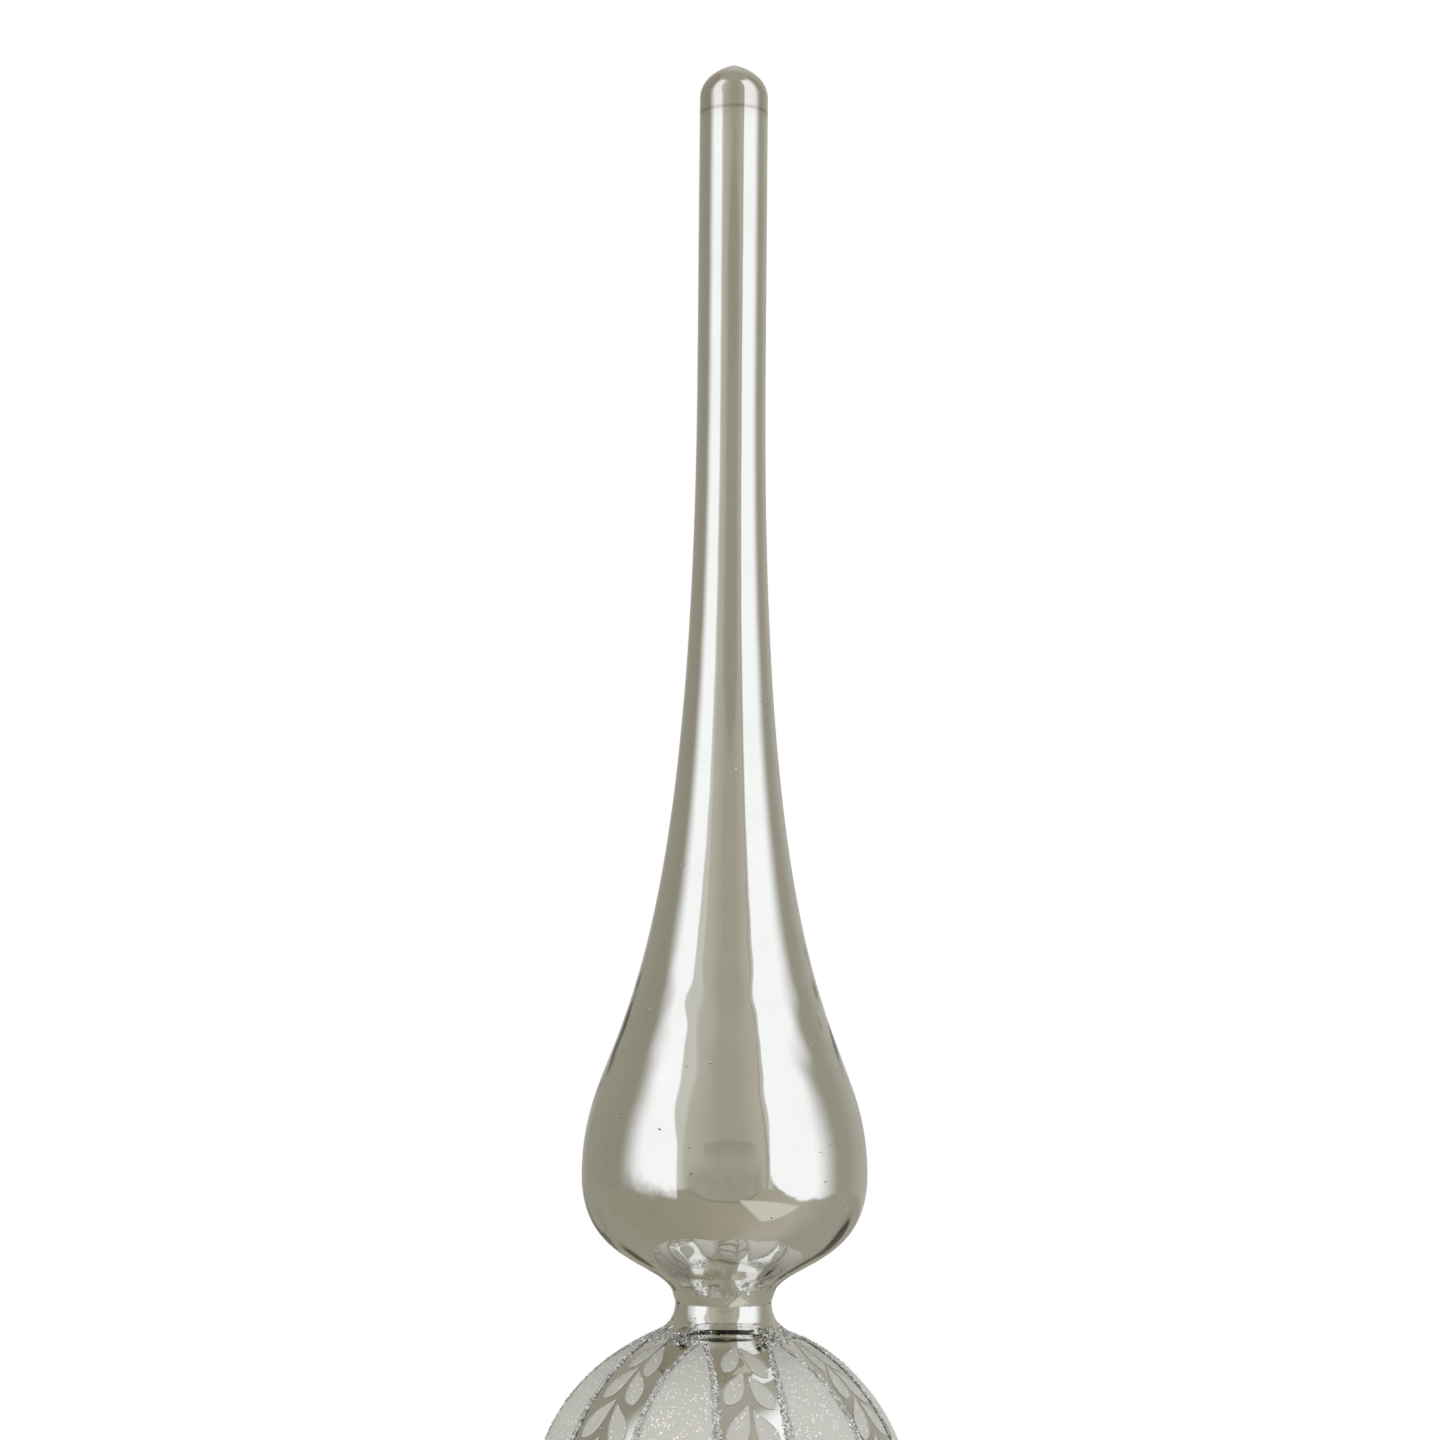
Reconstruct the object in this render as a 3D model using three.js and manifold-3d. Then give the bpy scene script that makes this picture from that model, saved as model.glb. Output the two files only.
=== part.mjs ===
// Silvered glass finial tree topper: a blown ball and a long spire on an open socket,
// with seven frosted petals edged in glitter, laurel leaves between them, and a push-on
// metal collar that holds the spring which grips the tree's top shoot.
//
// Millimetres, +Z up along the spire. The origin is the centre of the collar's resting face.
// Angles around the axis are counted from -Y, positive towards +X.

import * as THREE from 'three';
import { mergeVertices } from 'three/addons/utils/BufferGeometryUtils.js';
import Module from 'manifold-3d';

const wasm = await Module();
wasm.setup();

const degrees = Math.PI / 180;

// ---------------------------------------------------------------- driving dimensions

const glassWall = 1.2;
const latheSegments = 28;

const ballRadius = 35;
const socketRadius = 15; // outside of the tube below the ball
const socketLength = 35.5; // straight tube, rim to ball fillet
const socketFillet = 4;
const neckRadius = 8.9; // outside of the neck between ball and bulb
const neckFillet = 6;

const bulbRadius = 26.55;
const bulbRise = 23.5; // neck to the bulb's widest level
const bulbUndersideFullness = 17.8; // curve handle at the widest level
const bulbUndersideTuck = 7.6; // curve handle at the neck
const flareLength = 149.8; // widest level to the parallel stem
const flareFullness = 28.1; // curve handle at the widest level
const flareSlimness = 130.2; // curve handle at the stem
const stemRadius = 6.5;
const stemLength = 54.4; // parallel stretch under the tip
const tipRise = 6.6; // height of the rounded tip

// Middles of the petals, painted by eye and so not quite evenly spaced.
const petalAzimuths = [-16, 37, 90, 139, 188, 237, 287].map((angle) => angle * degrees);
const petalWidth = 17.7; // at its widest, over the ball's surface
const petalFullness = 3.4; // higher keeps the petal wide for longer
const petalEndRoundness = 0.5; // lower ends it more bluntly
const frostThickness = 0.45;
const frostEndInset = 2.4; // from the petal's ends to the frost inside its glitter line
const beadWidth = 1.6; // glitter line round each petal
const beadHeight = 0.9;

const neckGlitterReach = 0.65; // down the ball from the neck's fillet
const neckGlitterStop = 40 * degrees; // of the neck's fillet left bare
const waistGlitterReach = 5.3; // up the ball from the socket's fillet
const glitterThickness = 0.5;

const leafLength = 9.4;
const leafWidth = 4.3; // before the spray is fitted to the room between petals
const leafTilt = 26 * degrees;
const leafWidestAt = 0.6; // share of its length from the root
const leafRoot = 0.8; // where it grows from the stem
const leafPairs = 9;
const leafThickness = 0.35;
const stemWidth = 0.7;
const sprayTaper = 0.6; // how far its width follows the ball's narrowing, from 0 to 1

const collarSheet = 0.5;
const collarHeight = 9;
const collarRollRadius = 0.6; // bead along the skirt's top edge
const lipHeight = 2.55; // turned-up hem round the hole in the collar's base
const tabCount = 3; // crimped over the spring's bottom coil
const tabWidth = 3;
const tabSheet = 0.35;
const tabOverlap = 0.7; // how far a tab reaches over the wire

const springWire = 1;
const springTopRadius = 7.2; // middle of the wire, top coil
const springTurns = 6.5;
const springFlatTurns = 0.75; // closed turn lying on the collar
const springPitch = 6.2;

// ---------------------------------------------------------------- clearances

const touchGap = 0.3; // between pieces that touch
const slideGap = 0.3; // collar skirt to glass socket
const springGap = 0.9; // bottom coil to the socket's inside
const lipGap = 0.5; // bottom coil to the collar's lip
const sprayEndGap = 1.6; // leaf spray to the glitter at the neck and at the socket
const spraySideGap = 0.55; // widest leaf to the glitter lines on both sides

// ---------------------------------------------------------------- places

const rimZ = collarSheet + touchGap;
const socketTopZ = rimZ + socketLength;
const socketFilletRise = Math.sqrt(
  (ballRadius + socketFillet) ** 2 - (socketRadius + socketFillet) ** 2,
);
const neckFilletRise = Math.sqrt(
  (ballRadius + neckFillet) ** 2 - (neckRadius + neckFillet) ** 2,
);
const ballCentreZ = socketTopZ + socketFilletRise;
const neckZ = ballCentreZ + neckFilletRise;
const bulbZ = neckZ + bulbRise;
const stemZ = bulbZ + flareLength;
const tipZ = stemZ + stemLength;

const skirtInnerRadius = socketRadius + slideGap;
const springBaseRadius = socketRadius - glassWall - springGap - springWire / 2;
const lipOuterRadius = springBaseRadius - springWire / 2 - lipGap;
const branchHoleRadius = lipOuterRadius - collarSheet;
const springBaseZ = collarSheet + touchGap + springWire / 2;
const springRiseAngle = springFlatTurns * 2 * Math.PI;

const neckJoinLatitude = Math.acos((neckRadius + neckFillet) / (ballRadius + neckFillet));
const socketJoinLatitude = -Math.acos(
  (socketRadius + socketFillet) / (ballRadius + socketFillet),
);
const neckGlitterLatitude = neckJoinLatitude - neckGlitterReach / ballRadius;
const waistGlitterLatitude = socketJoinLatitude + waistGlitterReach / ballRadius;

const beadInset = beadWidth / 2 + touchGap;
const petalTopLatitude = neckGlitterLatitude - (beadInset + touchGap) / ballRadius;
const petalBottomLatitude = waistGlitterLatitude + (beadInset + touchGap) / ballRadius;
const petalMidLatitude = (petalTopLatitude + petalBottomLatitude) / 2;
const petalHalfLatitude = (petalTopLatitude - petalBottomLatitude) / 2;

const nextPetal = (i) => petalAzimuths[i + 1] ?? petalAzimuths[0] + 2 * Math.PI;
const closestPetals = Math.min(...petalAzimuths.map((azimuth, i) => nextPetal(i) - azimuth));
const sprayStartLatitude = neckGlitterLatitude - sprayEndGap / ballRadius;
const sprayLength = (sprayStartLatitude - waistGlitterLatitude) * ballRadius - sprayEndGap;
const leafPitch = (sprayLength - leafLength * Math.cos(leafTilt)) / (leafPairs - 1);
const sprayRoom = (closestPetals * ballRadius - petalWidth - beadWidth) / 2 - spraySideGap;
const leafReach = stemWidth / 2 + leafWidestAt * leafLength * Math.sin(leafTilt)
  + (leafWidth / 2) * Math.cos(leafTilt);
const sprayFit = sprayRoom / leafReach;

// ---------------------------------------------------------------- materials

const finish = (color, roughness, metalness) =>
  new THREE.MeshStandardMaterial({ color, roughness, metalness });

const silveredGlass = finish(0xc9c7bd, 0.06, 0.9);
const frost = finish(0xd6d4ca, 0.75, 0.1);
const glitter = finish(0xd9dadb, 0.35, 0.85);
const collarMetal = finish(0xc8c9cb, 0.3, 0.95);
const springSteel = finish(0x9fa2a6, 0.25, 1);

// ---------------------------------------------------------------- shared shapes

const group = new THREE.Group();

function addPiece(name, geometry, material) {
  const mesh = new THREE.Mesh(geometry, material);
  mesh.name = name;
  group.add(mesh);
}

// Spins a closed outline of (radius, height) points round +Z.
function spin(outline) {
  return new THREE.LatheGeometry(outline, latheSegments).rotateX(Math.PI / 2);
}

// Points along an arc in the (radius, height) plane.
function arc(centre, radius, from, to, steps) {
  const points = [];
  for (let i = 0; i <= steps; i += 1) {
    const angle = from + ((to - from) * i) / steps;
    const x = centre.x + radius * Math.cos(angle);
    points.push(new THREE.Vector2(x, centre.y + radius * Math.sin(angle)));
  }
  return points;
}

// The same line moved sideways, to the left of its direction of travel.
function offsetLine(points, distance) {
  return points.map((point, i) => {
    const before = points[Math.max(i - 1, 0)];
    const after = points[Math.min(i + 1, points.length - 1)];
    const along = after.clone().sub(before).normalize();
    return new THREE.Vector2(point.x - along.y * distance, point.y + along.x * distance);
  });
}

function toSolid(geometry) {
  const bare = geometry.clone();
  bare.deleteAttribute('normal');
  bare.deleteAttribute('uv');
  const merged = mergeVertices(bare, 1e-4);
  const mesh = new wasm.Mesh({
    numProp: 3,
    vertProperties: new Float32Array(merged.attributes.position.array),
    triVerts: new Uint32Array(merged.index.array),
  });
  return new wasm.Manifold(mesh);
}

function toGeometry(solid) {
  const { vertProperties, triVerts } = solid.getMesh();
  const geometry = new THREE.BufferGeometry();
  geometry.setAttribute('position', new THREE.BufferAttribute(vertProperties, 3));
  geometry.setIndex(new THREE.BufferAttribute(triVerts, 1));
  geometry.computeVertexNormals();
  return geometry;
}

function joined(geometries) {
  return toGeometry(geometries.map(toSolid).reduce((all, next) => all.add(next)));
}

// A closed plate from flat convex faces, each drawn anticlockwise, that share whole edges.
function plate(faces, thickness) {
  const corners = [];
  const add = (point, z) => corners.push(point.x, point.y, z);
  const name = (from, to) => [from.x, from.y, to.x, to.y].map((v) => v.toFixed(4)).join();
  const edges = faces.flatMap((face) =>
    face.map((from, i) => [from, face[(i + 1) % face.length]]));
  const names = new Set(edges.map(([from, to]) => name(from, to)));
  faces.forEach((face) => {
    for (let i = 2; i < face.length; i += 1) {
      [face[0], face[i - 1], face[i]].forEach((point) => add(point, thickness));
      [face[i], face[i - 1], face[0]].forEach((point) => add(point, 0));
    }
  });
  const rim = edges.filter(([from, to]) => !names.has(name(to, from)));
  rim.forEach(([from, to]) => {
    [[from, 0], [to, 0], [to, thickness]].forEach(([point, z]) => add(point, z));
    [[from, 0], [to, thickness], [from, thickness]].forEach(([point, z]) => add(point, z));
  });
  const geometry = new THREE.BufferGeometry();
  geometry.setAttribute('position', new THREE.Float32BufferAttribute(corners, 3));
  return geometry;
}

// Moves every point of a geometry to where place(point) says.
function bend(geometry, place) {
  const { position } = geometry.attributes;
  const point = new THREE.Vector3();
  for (let i = 0; i < position.count; i += 1) {
    const moved = place(point.fromBufferAttribute(position, i));
    position.setXYZ(i, moved.x, moved.y, moved.z);
  }
  geometry.computeVertexNormals();
  return geometry;
}

function onBall(azimuth, latitude, height) {
  const radius = ballRadius + height;
  const flat = radius * Math.cos(latitude);
  const z = ballCentreZ + radius * Math.sin(latitude);
  return new THREE.Vector3(flat * Math.sin(azimuth), -flat * Math.cos(azimuth), z);
}

// ---------------------------------------------------------------- glass

const ballCentre = new THREE.Vector2(0, ballCentreZ);
const neckFilletCentre = new THREE.Vector2(neckRadius + neckFillet, neckZ);
const socketFilletCentre = new THREE.Vector2(socketRadius + socketFillet, socketTopZ);

// Lines at a height above the ball's glass, all drawn upwards.
const neckCurve = (height, steps) =>
  arc(neckFilletCentre, neckFillet - height, Math.PI + neckJoinLatitude, Math.PI, steps);
const socketCurve = (height, steps) => arc(
  socketFilletCentre, socketFillet - height, Math.PI, Math.PI + socketJoinLatitude, steps,
);
const ballCurve = (height, from, to, steps) =>
  arc(ballCentre, ballRadius + height, from, to, steps);

function ballGlass() {
  const wallLine = (height) => [
    ...socketCurve(height, 2),
    ...ballCurve(height, socketJoinLatitude, neckJoinLatitude, 12).slice(1, -1),
    ...neckCurve(height, 3),
  ];
  const outside = wallLine(0);
  const inside = wallLine(-glassWall).reverse();
  return spin([...outside, ...inside, outside[0].clone()]);
}

function socketGlass() {
  const inner = socketRadius - glassWall;
  const top = socketTopZ - touchGap;
  return spin([
    new THREE.Vector2(inner, rimZ),
    new THREE.Vector2(socketRadius, rimZ),
    new THREE.Vector2(socketRadius, top),
    new THREE.Vector2(inner, top),
    new THREE.Vector2(inner, rimZ),
  ]);
}

// Outer line of the spire from the neck seam up to where the tip starts.
function spireLine() {
  const seamZ = neckZ + touchGap;
  const underside = new THREE.CubicBezierCurve(
    new THREE.Vector2(neckRadius, seamZ),
    new THREE.Vector2(neckRadius, seamZ + bulbUndersideTuck),
    new THREE.Vector2(bulbRadius, bulbZ - bulbUndersideFullness),
    new THREE.Vector2(bulbRadius, bulbZ),
  );
  const flare = new THREE.CubicBezierCurve(
    new THREE.Vector2(bulbRadius, bulbZ),
    new THREE.Vector2(bulbRadius, bulbZ + flareFullness),
    new THREE.Vector2(stemRadius, stemZ - flareSlimness),
    new THREE.Vector2(stemRadius, stemZ),
  );
  return [...underside.getPoints(7), ...flare.getPoints(10).slice(1)];
}

function tipLine(radius, rise) {
  return arc(new THREE.Vector2(0, tipZ), 1, 0, Math.PI / 2, 4)
    .map((point) => new THREE.Vector2(point.x * radius, tipZ + (point.y - tipZ) * rise));
}

function spireGlass() {
  const outside = spireLine();
  const inside = offsetLine(outside, glassWall);
  inside[0].set(neckRadius - glassWall, outside[0].y);
  outside.push(...tipLine(stemRadius, tipRise));
  inside.push(...tipLine(stemRadius - glassWall, tipRise - glassWall));
  return spin([...inside.reverse(), ...outside]);
}

// ---------------------------------------------------------------- decoration

// Half the petal's angle at a share of its length, from -1 at its foot to 1 at its top.
const petalHalfAngle = (share) => {
  const widest = petalWidth / 2 / ballRadius;
  return widest * (1 - Math.abs(share) ** petalFullness) ** petalEndRoundness;
};

function petalFrost(azimuth) {
  const columns = 3;
  const rows = 12;
  const reach = petalHalfLatitude - frostEndInset / ballRadius;
  const middle = touchGap + frostThickness / 2;
  const slab = new THREE.BoxGeometry(2, 2, frostThickness, columns, rows, 1);
  return bend(slab, ({ x, y, z }) => {
    const latitude = petalMidLatitude + y * reach;
    const edge = petalHalfAngle((y * reach) / petalHalfLatitude);
    const half = edge - beadInset / ballRadius / Math.cos(latitude);
    return onBall(azimuth + x * half, latitude, middle + z);
  });
}

// A point of the petal's edge grown sideways by growth, turned once round by angle.
function petalEdge(azimuth, angle, growth, height) {
  const share = Math.sin(angle);
  const side = Math.sign(Math.cos(angle));
  const latitude = petalMidLatitude + share * (petalHalfLatitude + growth / ballRadius);
  const half = petalHalfAngle(share) * (1 + growth / (petalWidth / 2));
  return onBall(azimuth + side * half, latitude, height);
}

function petalBead(azimuth) {
  const sides = 5;
  const stations = 32;
  const ring = new THREE.TorusGeometry(1, 1 / 2, sides, stations);
  return bend(ring, ({ x, y, z }) => {
    const growth = (Math.hypot(x, y) - 1) * beadWidth;
    const height = touchGap + (z + 1 / 2) * beadHeight;
    return petalEdge(azimuth, Math.atan2(y, x), growth, height);
  });
}

// Places a flat sheet of (across, along, height) down the ball from the spray's start, fitted
// to the room between petals.
function downBall(azimuth, across, along, height) {
  const latitude = sprayStartLatitude - along / ballRadius;
  const narrowing = Math.cos(latitude) ** (1 - sprayTaper);
  return onBall(azimuth + (across * sprayFit) / ballRadius / narrowing, latitude, height);
}

// The faces of one flat leaf on the +X side of the stem: narrow at its root, widest past
// its middle and pointed at its tip.
function leafFaces(root) {
  const edge = stemWidth / 2;
  const at = (share, side) => new THREE.Vector2(
    edge + share * leafLength * Math.sin(leafTilt) + side * Math.cos(leafTilt),
    side * Math.sin(leafTilt) - share * leafLength * Math.cos(leafTilt) - root,
  );
  const rootTop = new THREE.Vector2(edge, -root);
  const rootFoot = new THREE.Vector2(edge, -root - leafRoot);
  const inner = at(leafWidestAt, -leafWidth / 2);
  const outer = at(leafWidestAt, leafWidth / 2);
  return [[rootTop, rootFoot, inner, outer], [inner, at(1, 0), outer]];
}

const mirrored = (face) => face.map(({ x, y }) => new THREE.Vector2(-x, y)).reverse();

function stemFace(from, to) {
  const edge = stemWidth / 2;
  return [[-edge, -from], [-edge, -to], [edge, -to], [edge, -from]]
    .map(([x, y]) => new THREE.Vector2(x, y));
}

function leafSpray(azimuth) {
  const faces = [];
  for (let pair = 0; pair < leafPairs; pair += 1) {
    const root = pair * leafPitch;
    const leaves = leafFaces(root);
    faces.push(...leaves, ...leaves.map(mirrored));
    faces.push(stemFace(root, root + leafRoot));
    if (pair < leafPairs - 1) faces.push(stemFace(root + leafRoot, root + leafPitch));
  }
  const flat = plate(faces, leafThickness);
  return bend(flat, ({ x, y, z }) => downBall(azimuth, x, -y, touchGap + z));
}

function glitterBand(lineAt) {
  const outside = lineAt(touchGap + glitterThickness);
  const inside = lineAt(touchGap).reverse();
  return spin([...outside, ...inside, outside[0].clone()]);
}

function neckGlitter() {
  const last = Math.PI + neckGlitterStop;
  return glitterBand((height) => [
    ...ballCurve(height, neckGlitterLatitude, neckJoinLatitude, 1),
    ...arc(neckFilletCentre, neckFillet - height, Math.PI + neckJoinLatitude, last, 2).slice(1),
  ]);
}

function waistGlitter() {
  return glitterBand((height) => [
    ...socketCurve(height, 2),
    ...ballCurve(height, socketJoinLatitude, waistGlitterLatitude, 1).slice(1),
  ]);
}

// ---------------------------------------------------------------- collar and spring

function collarShell() {
  const skirtOuterRadius = skirtInnerRadius + collarSheet;
  const rollCentre = new THREE.Vector2(skirtOuterRadius, collarHeight - collarRollRadius);
  return spin([
    new THREE.Vector2(branchHoleRadius, 0),
    new THREE.Vector2(skirtOuterRadius, 0),
    ...arc(rollCentre, collarRollRadius, -Math.PI / 2, Math.PI / 2, 4),
    new THREE.Vector2(skirtInnerRadius, collarHeight),
    new THREE.Vector2(skirtInnerRadius, collarSheet),
    new THREE.Vector2(lipOuterRadius, collarSheet),
    new THREE.Vector2(lipOuterRadius, lipHeight),
    new THREE.Vector2(branchHoleRadius, lipHeight),
    new THREE.Vector2(branchHoleRadius, 0),
  ]);
}

// A tab rooted in the middle of the lip's wall and folded out over the spring.
function collarTab(angle) {
  const root = branchHoleRadius + collarSheet / 2;
  const end = springBaseRadius - springWire / 2 + tabOverlap;
  return new THREE.BoxGeometry(tabWidth, end - root, tabSheet)
    .translate(0, -(root + end) / 2, lipHeight - tabSheet / 2)
    .rotateZ(angle);
}

function rimCollar() {
  const tabs = [];
  for (let i = 0; i < tabCount; i += 1) {
    tabs.push(collarTab(springRiseAngle + (i * 2 * Math.PI) / tabCount));
  }
  return joined([collarShell(), ...tabs]);
}

// Centre line of the spring: a closed bottom turn, then a rising turn that narrows.
class SpringLine extends THREE.Curve {
  getPoint(share, target = new THREE.Vector3()) {
    const turn = share * springTurns;
    const rising = Math.max(turn - springFlatTurns, 0);
    const risen = rising / (springTurns - springFlatTurns);
    const radius = THREE.MathUtils.lerp(springBaseRadius, springTopRadius, risen);
    const angle = turn * 2 * Math.PI;
    const z = springBaseZ + rising * springPitch;
    return target.set(radius * Math.sin(angle), -radius * Math.cos(angle), z);
  }
}

function gripSpring() {
  const section = new THREE.Shape();
  section.absarc(0, 0, springWire / 2, 0, 2 * Math.PI);
  return new THREE.ExtrudeGeometry(section, {
    steps: 14 * springTurns,
    curveSegments: 3,
    extrudePath: new SpringLine(),
    bevelEnabled: false,
  });
}

// ---------------------------------------------------------------- assembly

addPiece('spire_glass', spireGlass(), silveredGlass);
addPiece('ball_glass', ballGlass(), silveredGlass);
addPiece('socket_glass', socketGlass(), silveredGlass);
addPiece('neck_glitter', neckGlitter(), glitter);
addPiece('waist_glitter', waistGlitter(), glitter);
petalAzimuths.forEach((azimuth, i) => {
  addPiece(`petal_frost_${i + 1}`, petalFrost(azimuth), frost);
  addPiece(`petal_bead_${i + 1}`, petalBead(azimuth), glitter);
  addPiece(`leaf_spray_${i + 1}`, leafSpray((azimuth + nextPetal(i)) / 2), frost);
});
addPiece('rim_collar', rimCollar(), collarMetal);
addPiece('grip_spring', gripSpring(), springSteel);

export default group;
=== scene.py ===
"""Silvered glass finial tree topper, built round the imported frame.

Shapes are worked out in millimetres and turned into metres where a mesh is made.
Angles round the axis are counted from -Y, positive towards +X; +Z runs up the spire.
"""

import math

import bpy
import numpy as np
from mathutils import Matrix, Vector, noise


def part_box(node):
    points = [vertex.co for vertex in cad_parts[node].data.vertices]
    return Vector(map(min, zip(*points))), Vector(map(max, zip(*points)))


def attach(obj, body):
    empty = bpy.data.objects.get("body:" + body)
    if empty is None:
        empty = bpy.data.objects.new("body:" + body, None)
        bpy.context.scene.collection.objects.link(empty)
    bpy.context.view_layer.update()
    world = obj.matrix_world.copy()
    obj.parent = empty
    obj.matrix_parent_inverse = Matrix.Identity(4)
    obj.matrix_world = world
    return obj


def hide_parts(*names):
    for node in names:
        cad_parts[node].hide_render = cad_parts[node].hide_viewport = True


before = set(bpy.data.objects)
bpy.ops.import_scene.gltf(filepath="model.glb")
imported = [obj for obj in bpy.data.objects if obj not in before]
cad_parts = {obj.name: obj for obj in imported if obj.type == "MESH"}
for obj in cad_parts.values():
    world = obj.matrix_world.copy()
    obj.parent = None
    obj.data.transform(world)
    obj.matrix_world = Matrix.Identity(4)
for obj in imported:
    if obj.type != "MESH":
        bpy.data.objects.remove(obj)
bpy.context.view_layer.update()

MM = 0.001
TURN = 2 * math.pi

# ------------------------------------------------------------------ sizes, millimetres

BALL_RADIUS = 35.0
SOCKET_RADIUS = 15.0
SOCKET_FILLET = 4.0
NECK_RADIUS = 8.9
NECK_FILLET = 6.0
BULB_RADIUS = 26.55
BULB_RISE = 23.5  # neck to the bulb's widest level
UNDERSIDE_FULLNESS = 17.8
UNDERSIDE_TUCK = 7.9
FLARE_LENGTH = 149.8
FLARE_FULLNESS = 28.1
FLARE_SLIMNESS = 130.2
STEM_RADIUS = 6.5
TIP_RISE = 6.6

GLASS_WALL = 1.2
SILVER_DEPTH = 0.55  # clear glass over the silvering
SILVER_DEPTH_ON_BALL = 0.06
SILVER_SKIN = 0.08
SILVER_FOOT = 4.0  # bare glass above the rim
LEVEL_LINE_BELOW_TIP = 9.3  # the faint ring left by the silvering
RIM_ROUND = 0.5
SEAM_LOW = 31.9  # fused ridges, above the ball's centre
SEAM_HIGH = 35.6
SEAM_PITCH = 1.15
SEAM_HEIGHT = 0.028

# Middles of the petals, painted by eye and so not quite evenly spaced.
PETAL_AZIMUTHS = np.radians([-16, 37, 90, 139, 188, 237, 287])
PETAL_WIDTH = 17.7
PETAL_FULLNESS = 3.4
PETAL_END_ROUNDNESS = 0.5
LINE_WIDTH = 1.6  # glitter line round a petal
LINE_HEIGHT = 0.22
FROST_HEIGHT = 0.14
NECK_GLITTER_REACH = 0.65  # down the ball from the neck's fillet
WAIST_GLITTER_REACH = 5.3  # up the ball from the socket's fillet
EDGE_GAP = 0.3

LEAF_LENGTH = 9.4
LEAF_WIDTH = 4.3
LEAF_TILT = math.radians(26)
LEAF_PAIRS = 9
LEAF_HEIGHT = 0.05
SPRAY_END_GAP = 1.6
SPRAY_TAPER = 0.6  # how far its width follows the ball's narrowing, from 0 to 1

FLUTES = 44
FLUTE_DEPTH = 0.16

# ------------------------------------------------------------------ places, from the frame

socket_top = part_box("ball_glass")[0].z / MM
neck_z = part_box("ball_glass")[1].z / MM
rim_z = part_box("socket_glass")[0].z / MM
tip_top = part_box("spire_glass")[1].z / MM
collar_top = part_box("rim_collar")[1].z / MM

socket_centre = (SOCKET_RADIUS + SOCKET_FILLET, socket_top)
neck_centre = (NECK_RADIUS + NECK_FILLET, neck_z)
socket_rise = math.sqrt((BALL_RADIUS + SOCKET_FILLET) ** 2 - socket_centre[0] ** 2)
neck_rise = math.sqrt((BALL_RADIUS + NECK_FILLET) ** 2 - neck_centre[0] ** 2)
socket_join = math.atan2(socket_rise, socket_centre[0])
neck_join = math.atan2(neck_rise, neck_centre[0])
ball_z = socket_top + socket_rise
bulb_z = neck_z + BULB_RISE
stem_z = bulb_z + FLARE_LENGTH
tip_z = tip_top - TIP_RISE

line_inset = LINE_WIDTH / 2 + EDGE_GAP
neck_glitter_latitude = neck_join - NECK_GLITTER_REACH / BALL_RADIUS
waist_glitter_latitude = WAIST_GLITTER_REACH / BALL_RADIUS - socket_join
petal_top = neck_glitter_latitude - (line_inset + EDGE_GAP) / BALL_RADIUS
petal_foot = waist_glitter_latitude + (line_inset + EDGE_GAP) / BALL_RADIUS
petal_middle = (petal_top + petal_foot) / 2
petal_reach = (petal_top - petal_foot) / 2
spray_azimuths = (PETAL_AZIMUTHS + np.append(PETAL_AZIMUTHS[1:], PETAL_AZIMUTHS[0] + TURN)) / 2
spray_start = neck_glitter_latitude - SPRAY_END_GAP / BALL_RADIUS
spray_length = (spray_start - waist_glitter_latitude) * BALL_RADIUS - SPRAY_END_GAP
leaf_pitch = (spray_length - LEAF_LENGTH * math.cos(LEAF_TILT)) / (LEAF_PAIRS - 1)


# ------------------------------------------------------------------ lines and meshes

def arc(centre, radius, start, end, steps=40):
    """Points along an arc in the (radius, height) plane."""
    angles = np.linspace(start, end, steps + 1)
    return np.stack([centre[0] + radius * np.cos(angles), centre[1] + radius * np.sin(angles)], 1)


def bezier(a, b, c, d, steps=80):
    t = np.linspace(0, 1, steps + 1)[:, None]
    a, b, c, d = (np.array(p, float) for p in (a, b, c, d))
    return (1 - t) ** 3 * a + 3 * (1 - t) ** 2 * t * b + 3 * (1 - t) * t * t * c + t ** 3 * d


def along(line):
    """Distance from the start of the line to each of its points."""
    steps = np.hypot(*np.diff(line, axis=0).T)
    return np.concatenate([[0], np.cumsum(steps)])


def respaced(line, spacing_at):
    """The line with new points, spacing_at(height) apart."""
    distance = along(line)
    stops, here = [0.0], 0.0
    while here < distance[-1]:
        height = np.interp(here, distance, line[:, 1])
        here += spacing_at(height)
        stops.append(min(here, distance[-1]))
    if stops[-1] - stops[-2] < 1e-3:
        stops.pop(-2)
    return np.stack([np.interp(stops, distance, line[:, k]) for k in (0, 1)], 1)


def sideways(line, distance):
    """The line moved towards the axis side by distance, a number or one for each point."""
    tangent = np.gradient(line, axis=0)
    tangent /= np.hypot(*tangent.T)[:, None]
    normal = np.stack([-tangent[:, 1], tangent[:, 0]], 1)
    return line + normal * np.broadcast_to(distance, len(line))[:, None]


def smooth_step(value, low, high):
    t = np.clip((np.asarray(value, float) - low) / (high - low), 0, 1)
    return t * t * (3 - 2 * t)


def new_piece(name, points, faces, material, smooth=True):
    """A mesh object at the origin from points in millimetres."""
    mesh = bpy.data.meshes.new(name)
    mesh.from_pydata((np.asarray(points) * MM).tolist(), [], [list(f) for f in faces])
    mesh.polygons.foreach_set("use_smooth", [smooth] * len(mesh.polygons))
    if material:
        mesh.materials.append(material)
    mesh.update()
    piece = bpy.data.objects.new(name, mesh)
    bpy.context.scene.collection.objects.link(piece)
    return piece


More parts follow.
